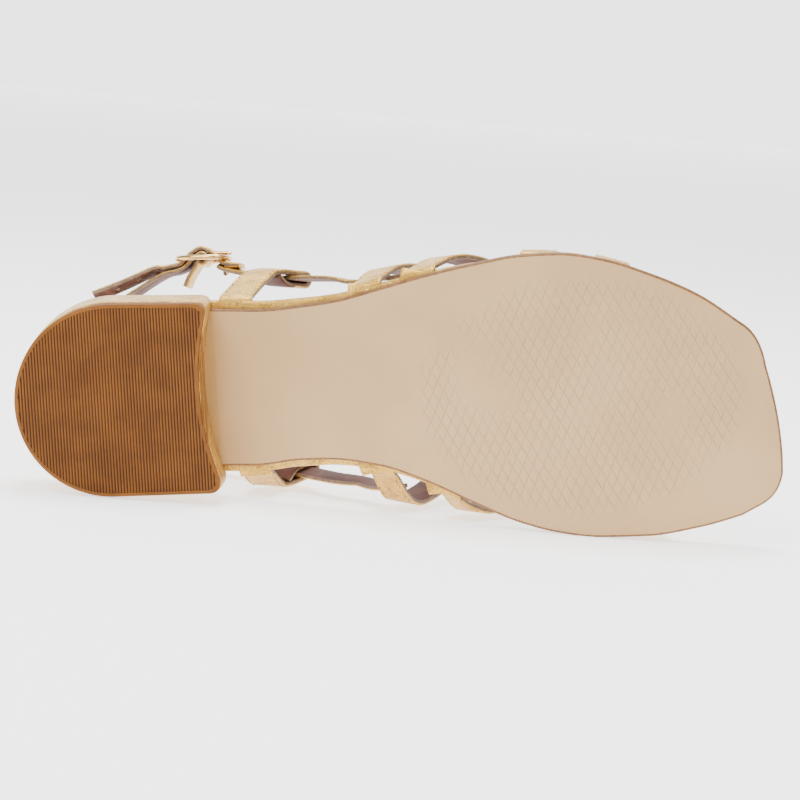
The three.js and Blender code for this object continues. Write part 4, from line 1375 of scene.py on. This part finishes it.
@dataclass
class AnkleStraps:
    """Ankle strap to its punched free end, and heel strap folded round the buckle's bar.

    Both seams start seam_start from the strap's beginning, and free_end, fold_end and
    end_seam are how far before the strap's end its seams stop or cross.
    """

    finishes: Finishes
    spacing: float = 0.9
    bar: float = 1.6
    hole: float = 1.9
    hole_pitch: float = 7.5
    hole_count: int = 4
    first_hole: float = 8
    hole_sides: int = 20
    seam_start: float = 12
    free_end: float = 1.5
    fold_end: float = 14
    end_seam: float = 1.2
    stitching: Stitching = Stitching(inset=0.56)
    end_creases: tuple[Crease, ...] = (Crease(8, 0.12, 1.4, 0.2), Crease(19, 0.1, 1.6, -0.25))

    def key_frames(self, keys: Sequence[StrapKey], turned: int) -> list[StrapFrame]:
        """Strap frames of laid-out rows."""
        return [StrapFrame(key.middle, SIZES.ankle_strap_width, SIZES.ankle_leather, across=key.across,
                           turned=turned) for key in keys]

    def ankle_ribbon(self) -> Ribbon:
        """Ankle strap, under the ring on both sides of the bar and over the bar between."""
        under = [BUCKLE_SEAT.frame(point, 1) for point in UNDER_RING]
        frames = (self.key_frames(ANKLE_KEYS[:BUCKLE_ROW], 1) + under
                  + self.key_frames(ANKLE_KEYS[BUCKLE_ROW + 1:], 1))
        return Ribbon(frames, self.spacing, self.end_creases)

    def heel_ribbon(self) -> Ribbon:
        """Heel strap, folded round the bar and laid back on its inner side."""
        wrap = (self.bar + SIZES.ankle_leather) / 2 + SIZES.gap
        fold = [BarPoint(wrap * math.cos(turn), wrap * math.sin(turn))
                for turn in evenly(math.radians(48), math.radians(312), 7)]
        at_bar = [BUCKLE_SEAT.frame(point, -1) for point in (*TO_BAR, *fold, *FROM_BAR)]
        return Ribbon(self.key_frames(HEEL_KEYS, -1) + at_bar, self.spacing, self.end_creases)

    def punch(self, strap: bpy.types.Object, ribbon: Ribbon) -> None:
        """Punch the buckle holes through the free end.

        Args:
            strap: the ankle strap's object.
            ribbon: its ribbon.
        """
        pins = MeshDraft()
        for i in range(self.hole_count):
            distance = ribbon.length - self.first_hole - i * self.hole_pitch
            point, forward, sideways, outward = ribbon.point(distance, 0, 0)
            rings = []
            for lift in (-2 * SIZES.ankle_leather, 2 * SIZES.ankle_leather):
                turns = [2 * math.pi * k / self.hole_sides for k in range(self.hole_sides)]
                rings.append(pins.add_ring([
                    point + outward * lift + forward * (self.hole / 2 * math.cos(turn))
                    + sideways * (self.hole / 2 * math.sin(turn)) for turn in turns]))
            pins.bridge(rings[0], rings[1], StrapFace.EDGE.value)
            pins.add_face(rings[0], StrapFace.EDGE.value)
            pins.add_face(rings[1], StrapFace.EDGE.value)
        cutter = pins.build("hole_punch", self.finishes.strap())
        cut = strap.modifiers.new("holes", "BOOLEAN")
        cut.operation = "DIFFERENCE"
        cut.object = cutter
        graph = bpy.context.evaluated_depsgraph_get()
        cut_mesh = bpy.data.meshes.new_from_object(strap.evaluated_get(graph))
        strap.modifiers.clear()
        strap.data = cut_mesh
        bpy.data.objects.remove(cutter)

    def build(self) -> None:
        """Make both straps and their seams."""
        seams = MeshDraft()
        ankle, heel = self.ankle_ribbon(), self.heel_ribbon()
        for name, ribbon in (("ankle_strap", ankle), ("heel_strap", heel)):
            draft = MeshDraft()
            ribbon.into(draft)
            strap = draft.build(name + "_foil", self.finishes.strap())
            if name == "ankle_strap":
                self.punch(strap, ribbon)
            settle(strap, "foil_leather", name)
        self.stitching.sew(seams, ankle, self.seam_start, ankle.length - self.free_end)
        self.stitching.sew(seams, heel, self.seam_start, heel.length - self.fold_end)
        self.stitching.sew_across(seams, ankle, ankle.length - self.end_seam)
        settle(seams.build("ankle_strap_seams", [self.finishes.thread]), "thread")


@dataclass
class GuideLoops:
    """Two short straps from the insole that fold over the ankle straps.

    room is the clearance round the strap held, slant the lean of the feet along the
    shoe, and folded_in the length of the inner leg as a share of half that strap's width.
    """

    finishes: Finishes
    lateral_foot: float = 0.284
    medial_foot: float = 0.31
    room: float = 0.5
    slant: float = 0.1
    folded_in: float = 2.2
    spacing: float = 0.9
    stitching: Stitching = Stitching()
    creases: tuple[Crease, ...] = (Crease(15, 0.12, 1.2, 0.4), Crease(24, 0.1, 1.4, -0.3))

    def frames(self, side: int, key: StrapKey, foot: float) -> list[StrapFrame]:
        """Frames of one loop, up outside its strap, over it and down inside.

        Args:
            side: 1 lateral, -1 medial.
            key: row of the strap that the loop holds.
            foot: place of the loop's foot, share of the length.

        Returns:
            The frames.
        """
        run = key.forward.normalized()
        up = (key.across - run * key.across.dot(run)).normalized()
        out = up.cross(run).normalized()
        if out.y * side > 0:
            out.negate()
        reach = (SIZES.leather + SIZES.ankle_leather) / 2 + self.room
        top = SIZES.ankle_strap_width / 2 + self.room

        def at(height: float, away: float, facing: Vector) -> StrapFrame:
            """Frame at a height over the strap's middle and a distance out from it."""
            middle = key.middle + up * height + out * away
            return StrapFrame(middle, SIZES.strap_width, SIZES.leather, facing=facing)

        outer = [at(-2.8 * top, 0.3 * reach, out), at(-1.5 * top, 0.92 * reach, out), at(0, reach, out)]
        fold = [at(top + reach * math.sin(turn), reach * math.cos(turn),
                   out * math.cos(turn) + up * math.sin(turn)) for turn in evenly(0, math.pi, 6)]
        inner = [at(0, -reach, -out), at(-top, -0.95 * reach, -out), at(-1.9 * top, 0.2 * reach, -out)]
        return foot_frames(side, foot, self.slant, SIZES.strap_width) + outer + fold + inner

    def build(self) -> None:
        """Make both loops and their seams."""
        seams = MeshDraft()
        loops = (
            ("guide_loop_lateral", 1, ANKLE_KEYS[LATERAL_LOOP_ROW], self.lateral_foot),
            ("guide_loop_medial", -1, HEEL_KEYS[MEDIAL_LOOP_ROW], self.medial_foot),
        )
        for name, side, key, foot in loops:
            draft = MeshDraft()
            ribbon = Ribbon(self.frames(side, key, foot), self.spacing, self.creases)
            inner_leg = ribbon.length - self.folded_in * SIZES.ankle_strap_width / 2
            ribbon.into(draft, inner_leg)
            self.stitching.sew(seams, ribbon, SIZES.tab_length + self.stitching.past_foot, inner_leg)
            settle(draft.build(name + "_foil", self.finishes.strap()), "foil_leather", name)
        settle(seams.build("guide_loop_seams", [self.finishes.thread]), "thread")


@dataclass
class Buckle:
    """Oval ring of round wire with a centre bar and its prong, in millimetres."""

    finishes: Finishes
    length: float = 19
    height: float = 16.5
    squareness: float = 0.7
    wire: float = 1.8
    bar: float = 1.6
    prong_wire: float = 1.3
    prong_steps: int = 56
    ring_steps: int = 96

    def tube(self, draft: MeshDraft, points: Sequence[Vector], radius: Callable[[float], float],
             sides: int = 14, closed: bool = False) -> None:
        """Add round wire along points.

        Args:
            draft: draft that takes the wire.
            points: middle of the wire.
            radius: radius at a share of its length.
            sides: faces round it.
            closed: whether its ends meet.
        """
        count = len(points)
        rings = []
        square = BUCKLE_SEAT.out
        for i, point in enumerate(points):
            before = points[(i - 1) % count] if closed else points[max(i - 1, 0)]
            after = points[(i + 1) % count] if closed else points[min(i + 1, count - 1)]
            forward = (after - before).normalized()
            square = (square - forward * square.dot(forward)).normalized()
            sideways = forward.cross(square)
            size = radius(i / count)
            rings.append(draft.add_ring([
                point + square * (size * math.cos(turn)) + sideways * (size * math.sin(turn))
                for turn in [2 * math.pi * k / sides for k in range(sides)]]))
        for first, second in zip(rings, rings[1:]):
            draft.bridge(first, second)
        if closed:
            draft.bridge(rings[-1], rings[0])
        else:
            draft.add_face(rings[0])
            draft.add_face(rings[-1])

    def bent(self, value: float) -> float:
        """Cosine or sine drawn out towards a squarer oval."""
        return math.copysign(abs(value) ** self.squareness, value)

    def frame_piece(self) -> None:
        """Ring and bar."""
        draft = MeshDraft()
        half_run, half_up = (self.length - self.wire) / 2, (self.height - self.wire) / 2
        turns = [2 * math.pi * i / self.ring_steps for i in range(self.ring_steps)]
        ring = [BUCKLE_SEAT.at(half_run * self.bent(math.cos(turn)), half_up * self.bent(math.sin(turn)), 0)
                for turn in turns]
        self.tube(draft, ring, lambda share: self.wire / 2, closed=True)
        bar = [BUCKLE_SEAT.at(0, up, 0) for up in evenly(-half_up, half_up, 8)]
        self.tube(draft, bar, lambda share: self.bar / 2)
        settle(draft.build("buckle_ring", [self.finishes.gold]), "buckle_metal", "buckle_frame")

    def prong_piece(self) -> None:
        """Hoop round the bar and pin with a rounded tip on the ring."""
        hoop = (self.bar + self.prong_wire) / 2 + SIZES.gap
        rest = (self.wire + self.prong_wire) / 2 + SIZES.gap
        front = -(self.length - self.wire) / 2
        keys = [BUCKLE_SEAT.at(hoop * math.cos(turn), 0, hoop * math.sin(turn))
                for turn in evenly(math.radians(-150), math.radians(110), 6)]
        keys += [BUCKLE_SEAT.at(front * 0.45, 0, rest), BUCKLE_SEAT.at(front - 1, 0, rest)]
        steps = self.prong_steps
        points = [curve_point(keys, share) for share in evenly(0, 1, steps)]

        def radius(share: float) -> float:
            """Wire radius, rounded off at the tip."""
            left = (1 - share) * (steps + 1) / steps
            return self.prong_wire / 2 * math.sqrt(max(1 - (1 - min(left / 0.05, 1)) ** 2, 0.05))

        draft = MeshDraft()
        self.tube(draft, points, radius)
        settle(draft.build("buckle_pin", [self.finishes.gold]), "buckle_metal", "buckle_prong")

    def build(self) -> None:
        """Make ring and prong."""
        self.frame_piece()
        self.prong_piece()


# Heel and soles

@dataclass
class HeelUnit:
    """Block heel covered in foil leather on a ribbed rubber lift, in millimetres.

    shift moves the heel to the medial side, flare widens its top, hollow bends its
    breast, turned_in pulls the breast's ends back, and rib_slant is a share.
    """

    finishes: Finishes
    width: float = 61.6
    shift: float = 0.4
    flare: float = 0.5
    breast_lateral: float = 61
    breast_medial: float = 65.5
    hollow: float = 4.2
    lift: float = 5
    lift_inset: float = 0.3
    corner: float = 4
    turned_in: float = 0.5
    front_lateral: float = 30.6
    front_medial: float = 30.2
    rim: float = 1.1
    rib_pitch: float = 0.95
    rib_depth: float = 0.4
    rib_slant: float = 0.05

    def outline(self, grow: float) -> list[Vector]:
        """Outline of the heel in plan.

        Args:
            grow: distance by which it is moved outwards.

        Returns:
            Its points, in order.
        """
        radius, middle, corner = self.width / 2 + grow, self.width / 2, self.corner
        front, back = self.breast_lateral + grow, self.breast_medial + grow
        lateral, medial = -(self.front_lateral + grow), self.front_medial + grow
        arc = [Vector((middle + radius * math.cos(turn), self.shift + radius * math.sin(turn)))
               for turn in evenly(math.pi / 2, 3 * math.pi / 2, 72)]
        breast_start = (front - self.turned_in, lateral + corner)
        breast_stop = (back - self.turned_in, medial - corner)
        bends = (
            ((front - corner, lateral), (front, lateral), breast_start, 8),
            (breast_start, ((front + back) / 2 - 2 * self.hollow, 0), breast_stop, 24),
            (breast_stop, (back, medial), (back - corner, medial), 8),
        )
        points = list(arc)
        for start, pull, stop, steps in bends:
            shares = evenly(0, 1, steps)
            kept = shares if len(points) == len(arc) else shares[1:]
            points.extend(bend_point(Vector(start), Vector(pull), Vector(stop), share) for share in kept)
        return points

    def ring(self, grow: float, height: float | Callable[[float], float]) -> list[Vector]:
        """Outline lifted to a height, or to one that depends on the place along the foot."""
        return [Vector((p.x, p.y, height(p.x / SIZES.length) if callable(height) else height))
                for p in self.outline(grow)]

    def crossing(self, outline: Sequence[Vector], start: float, slant: float) -> tuple[float, float] | None:
        """Where a line across the heel meets its outline.

        Args:
            outline: closed outline in plan.
            start: the line's place along the foot at the middle.
            slant: its move along the foot for each millimetre across.

        Returns:
            The lowest and highest place across, or None.
        """
        hits = []
        for first, second in zip(outline, [*outline[1:], outline[0]]):
            a, b = first.x - start - slant * first.y, second.x - start - slant * second.y
            if a * b < 0:
                hits.append(mix(first.y, second.y, a / (a - b)))
        return (min(hits), max(hits)) if len(hits) > 1 else None

    def front_at(self, across: float, grow: float) -> float:
        """Place of the heel's front edge.

        Args:
            across: place across the foot, medial positive.
            grow: distance by which the outline is moved outwards.

        Returns:
            The place along the foot, in millimetres.
        """
        outline = self.outline(grow)
        hits = []
        for first, second in zip(outline, [*outline[1:], outline[0]]):
            a, b = first.y - across, second.y - across
            if a * b <= 0 and a != b:
                hits.append(mix(first.x, second.x, a / (a - b)))
        return max(hits)

    def ribs(self, draft: MeshDraft) -> None:
        """Add the ribs between the rims of the lift."""
        inner = self.outline(-self.lift_inset - self.rim)
        foot, crown = 0.34 * self.rib_pitch, 0.2 * self.rib_pitch
        sunk, root = 0.02, self.rib_depth + 0.1
        profile = ((-foot, root), (-crown, sunk), (crown, sunk), (foot, root))
        count = int(self.breast_medial / self.rib_pitch)
        for i in range(count):
            start = (i + 0.5) * self.rib_pitch
            span = self.crossing(inner, start, self.rib_slant)
            if span is None or span[1] - span[0] < 2:
                continue
            corners = []
            for across in (span[0] - 0.05, span[1] + 0.05):
                along = start + self.rib_slant * across
                corners.append(draft.add_ring([
                    Vector((along + run, across, height)) for run, height in profile]))
            draft.bridge(corners[0], corners[1])
            draft.add_face(corners[0])
            draft.add_face(corners[1])

    def lift_piece(self) -> None:
        """Rubber lift: wall, flat rim, recessed floor and its wall in the painted-shade rubber, and ribs.
        """
        draft = MeshDraft()
        inset = -self.lift_inset
        levels = (
            (inset, self.lift, 0), (inset, 0.35, 0), (inset - 0.1, 0.1, 0), (inset - 0.35, 0, 0),
            (inset - self.rim, 0, 0), (inset - self.rim, self.rib_depth, 1),
        )
        rings = [draft.add_ring(self.ring(grow, height)) for grow, height, _ in levels]
        for first, second, (_, _, finish) in zip(rings, rings[1:], levels[1:]):
            draft.bridge(first, second, finish)
        draft.add_face(rings[0], 0)
        draft.add_face(rings[-1], 1)
        self.ribs(draft)
        piece = draft.build("top_lift_rubber", [self.finishes.lift, self.finishes.lift_floor_painted_shade])
        settle(piece, "heel_rubber", "top_lift")

    def block_piece(self) -> None:
        """Leather-covered block, its edges rounded, cut to the insole above."""
        draft = MeshDraft()
        low = self.lift + SIZES.gap
        # rise over the lift and inset, then drop under the insole and inset
        lower = ((0.0, 0.6), (0.1, 0.16), (0.5, 0.0), (3, -0.03), (10, -0.1))
        upper = ((2.0, 0.02), (0.35, 0.1), (0.0, 0.5))
        rings = [draft.add_ring(self.ring(self.flare * rise / 20 - inset, low + rise))
                 for rise, inset in lower]
        for down, inset in upper:
            rings.append(draft.add_ring(self.ring(
                self.flare - inset, lambda along, down=down: LAST.seat(along) - SIZES.gap - down)))
        for first, second in zip(rings, rings[1:]):
            draft.bridge(first, second)
        draft.add_face(rings[0])
        draft.add_face(rings[-1])
        settle(draft.build("heel_block_foil", [self.finishes.foil]), "foil_leather", "heel_block")

    def build(self) -> None:
        """Make lift and block."""
        self.lift_piece()
        self.block_piece()


class PlanPoint(NamedTuple):
    """Point of a sole's outline in millimetres, lateral positive."""

    along: float
    across: float


@dataclass
class SoleUnit:
    """Outsole with its painted edge, foil-wrapped insole and footbed.

    seam is how far the outsole's rear edge stands forward of the heel, and negative
    where the edge is hidden in it.
    """

    finishes: Finishes
    heel: HeelUnit
    steps: int = 90
    corner_steps: int = 14
    seam: float = -0.9

    def side(self, sign: int, edge: Callable[[int, float], float], rear: Sequence[PlanPoint],
             inset: float) -> list[PlanPoint]:
        """One side of a sole's outline, from its rear to the tip of the toe.

        Args:
            sign: 1 lateral, -1 medial.
            edge: half width by side and place.
            rear: points behind the side.
            inset: distance by which the toe stands back.

        Returns:
            The points.
        """
        points = list(rear)
        first = points[-1].along / SIZES.length
        for share in evenly(first, SIZES.toe_sides_end, self.steps)[1:]:
            points.append(PlanPoint(share * SIZES.length, sign * edge(sign, share)))

        def place(point: ToePoint) -> Vector:
            """Toe point in millimetres, set back by the inset."""
            back = math.copysign(inset, point.across - SIZES.toe_tip.across)
            back = 0 if point.across == SIZES.toe_tip.across else back
            return Vector((point.along * SIZES.length - inset, point.across * SIZES.ball_width - back))

        start = Vector(points[-1])
        tip = place(SIZES.toe_tip)
        if sign > 0:
            corner, front = place(SIZES.toe_lateral_corner), place(SIZES.toe_front_lateral)
            bends = ((start, corner, front), (front, place(SIZES.toe_front_pull), tip))
        else:
            corner = place(SIZES.toe_medial_corner)
            bends = ((start, start.lerp(corner, 0.5), corner), (corner, place(SIZES.toe_medial_pull), tip))
        for begin, pull, end in bends:
            for share in evenly(0, 1, self.corner_steps)[1:]:
                points.append(PlanPoint(*bend_point(begin, pull, end, share)))
        return points

    def insole_outline(self) -> tuple[list[PlanPoint], list[PlanPoint]]:
        """Both sides of the insole, round the heel seat."""
        inset = -SOLE_ROWS[-1].rim_lateral * SIZES.insole_rim
        radius = self.heel.width / 2
        sides = []
        for sign in (1, -1):
            reach = LAST.insole_edge(sign, SOLE_ROWS[0].along)
            rear = [PlanPoint(radius - (radius - 0.6) * math.cos(turn), sign * reach * math.sin(turn))
                    for turn in evenly(0, math.pi / 2, 24)]
            sides.append(self.side(sign, LAST.insole_edge, rear, inset))
        return sides[0], sides[1]

    def outsole_outline(self) -> tuple[list[PlanPoint], list[PlanPoint]]:
        """Both sides of the outsole, from the middle of the heel's front edge."""
        sides = []
        for sign in (1, -1):
            reach = LAST.outsole_edge(sign, self.heel.breast_lateral / SIZES.length)
            rear = []
            for across in evenly(0, sign * reach, 18):
                rear.append(PlanPoint(self.heel.front_at(-across, self.heel.flare) + self.seam, across))
            sides.append(self.side(sign, LAST.outsole_edge, rear, 0))
        return sides[0], sides[1]

    @staticmethod
    def inset_outline(outline: Sequence[PlanPoint], inset: float) -> list[PlanPoint]:
        """Outline moved inwards, square to its own direction.

        Args:
            outline: the outline's points.
            inset: distance by which it moves.

        Returns:
            As many points.
        """
        moved = []
        for i, point in enumerate(outline):
            before, after = outline[i - 1], outline[(i + 1) % len(outline)]
            dx, dy = after.along - before.along, after.across - before.across
            length = math.hypot(dx, dy) or 1
            moved.append(PlanPoint(point.along + dy / length * inset, point.across - dx / length * inset))
        return moved

    def layer(self, draft: MeshDraft, sides: tuple[list[PlanPoint], list[PlanPoint]],
              levels: Sequence[tuple[float, float]], base: Callable[[float], float],
              finishes: Sequence[int]) -> None:
        """Add a closed layer with a shared rear point.

        Args:
            draft: draft that takes the layer.
            sides: lateral and medial side of its outline.
            levels: rise over the base and inset of each ring.
            base: height of its underside by place along the foot.
            finishes: finish of the underside, of each strip of the edge, and of the top.
        """
        lateral, medial = sides
        outline = [*lateral, *medial[-2:0:-1]]
        count, half = len(outline), len(lateral)
        rings = []
        for rise, inset in levels:
            moved = self.inset_outline(outline, inset)
            rings.append(draft.add_ring([Vector((p.along, -p.across, base(p.along / SIZES.length) + rise))
                                         for p in moved]))
        for first, second, finish in zip(rings, rings[1:], finishes[1:-1]):
            draft.bridge(first, second, finish)
        for ring, finish in ((rings[0], finishes[0]), (rings[-1], finishes[-1])):
            for i in range(half - 1):
                opposite = [ring[(count - k) % count] for k in (i + 1, i)]
                draft.add_face((ring[i], ring[i + 1], *opposite), finish)

    def build(self) -> None:
        """Make outsole, insole and footbed."""
        thickness = SIZES.outsole_thickness
        outsole = MeshDraft()
        self.layer(outsole, self.outsole_outline(),
                   ((0, 0.75), (0.2, 0.25), (0.6, 0), (thickness, 0)),
                   lambda along: LAST.seat(along) - thickness - SIZES.gap, (0, 1, 1, 1, 1))
        rubber = [self.finishes.sole, self.finishes.sole_edge]
        settle(outsole.build("outsole_sheet", rubber), "sole", "outsole")
        insole = MeshDraft()
        top = SIZES.insole_thickness
        self.layer(insole, self.insole_outline(),
                   ((0, 1.0), (0.16, 0.4), (0.6, 0.08), (1.2, 0), (top - 1.2, 0), (top - 0.5, 0.12),
                    (top - 0.12, 0.5), (top, 1.1)),
                   LAST.seat, (0,) * 9)
        settle(insole.build("insole_wrap", [self.finishes.foil]), "foil_leather", "insole")
        sock = MeshDraft()
        self.layer(sock, self.insole_outline(),
                   ((top - 0.1, 2.2), (top + 0.12, 2.2), (top + 0.2, 2.5)), LAST.seat, (0,) * 4)
        settle(sock.build("footbed_sock", [self.finishes.footbed]), "footbed")


# Studio

class Lamp(NamedTuple):
    """Soft square light: its place and the side of its square in metres, and its watts."""

    name: str
    place: tuple[float, float, float]
    size: float
    power: float


@dataclass
class Studio:
    """Floor, lights and the camera at the photograph's angle.

    aim and distance are millimetres of the standing shoe, reach and lamp_aim metres of
    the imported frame, and lateral_view and field_of_view degrees.
    """

    aim: tuple[float, float, float] = (121.6, 0, 0)
    distance: float = 900
    lateral_view: float = 7.5
    field_of_view: float = 15.9
    reach: float = 6.0
    floor_paper: StudioPaper = StudioPaper("floor_paper", (0.93, 0.93, 0.93, 1), 1.5)
    wall_paper: StudioPaper = StudioPaper("wall_paper", (0.02, 0.02, 0.02, 1), 3.1)
    lamps: tuple[Lamp, ...] = (
        Lamp("key", (-0.5, -0.9, 1.1), 0.7, 18),
        Lamp("fill", (0.9, -1.1, 0.7), 1.0, 6),
        Lamp("top", (0.0, 0.2, 1.2), 0.6, 20),
    )
    lamp_aim: tuple[float, float, float] = (0, 0, 0.04)
    surroundings: float = 0.65

    def camera(self) -> None:
        """Look square at the sole, a little from its lateral side, lateral side up."""
        aim = POSE.place(Vector(self.aim))
        turn = math.radians(self.lateral_view)
        away = -(POSE.direction((0, 0, 1)) * math.cos(turn) + POSE.direction((0, 1, 0)) * math.sin(turn))
        place = aim + away * self.distance * MILLIMETRE
        forward = (aim - place).normalized()
        right = forward.cross(POSE.direction((0, -1, 0))).normalized()
        up = right.cross(forward)
        data = bpy.data.cameras.new("photo_camera")
        data.angle = math.radians(self.field_of_view)
        data.clip_start = 0.01
        camera = bpy.data.objects.new("photo_camera", data)
        turned = Matrix((right, up, -forward)).transposed().to_4x4()
        camera.matrix_world = Matrix.Translation(place) @ turned
        bpy.context.scene.collection.objects.link(camera)
        bpy.context.scene.camera = camera

    def sheet(self, name: str, corners: Sequence[Sequence[float]], paper: StudioPaper) -> None:
        """Hang or lay one wide sheet of paper.

        Args:
            name: name of the sheet.
            corners: its four corners in metres.
            paper: its finish.
        """
        mesh = bpy.data.meshes.new(name)
        mesh.from_pydata(corners, [], [(0, 1, 2, 3)])
        mesh.materials.append(paper.material())
        sheet = bpy.data.objects.new(name, mesh)
        bpy.context.scene.collection.objects.link(sheet)

    def papers(self) -> None:
        """Lay the floor and hang the backdrop behind it."""
        far = self.reach
        floor = [(-far, -far, 0), (far, -far, 0), (far, far, 0), (-far, far, 0)]
        wall = [(-far, far, 0), (far, far, 0), (far, far, far), (-far, far, far)]
        self.sheet("floor", floor, self.floor_paper)
        self.sheet("backdrop", wall, self.wall_paper)

    def light(self, lamp: Lamp) -> None:
        """Hang a lamp that faces the shoe.

        Args:
            lamp: the lamp.
        """
        data = bpy.data.lights.new(lamp.name, "AREA")
        data.size = lamp.size
        data.energy = lamp.power
        hung = bpy.data.objects.new(lamp.name, data)
        hung.location = lamp.place
        towards = Vector(self.lamp_aim) - Vector(lamp.place)
        hung.rotation_euler = towards.to_track_quat("-Z", "Y").to_euler()
        bpy.context.scene.collection.objects.link(hung)

    def build(self) -> None:
        """Make camera, floor, lights and the white surroundings."""
        self.camera()
        self.papers()
        for lamp in self.lamps:
            self.light(lamp)
        world = bpy.data.worlds.new("studio_white")
        world.use_nodes = True
        shade = world.node_tree.nodes["Background"]
        shade.inputs["Color"].default_value = (1, 1, 1, 1)
        shade.inputs["Strength"].default_value = self.surroundings
        bpy.context.scene.world = world


def main() -> None:
    """Build the sandal and its studio, piece by piece."""
    logging.basicConfig(level=logging.INFO, format="%(name)s %(message)s")
    finishes = Finishes()
    heel = HeelUnit(finishes)
    for unit in (Studio(), heel, SoleUnit(finishes, heel), Upper(finishes), GuideLoops(finishes),
                 AnkleStraps(finishes), Buckle(finishes)):
        LOG.info("building %s", type(unit).__name__)
        unit.build()


if __name__ == "__main__":
    main()
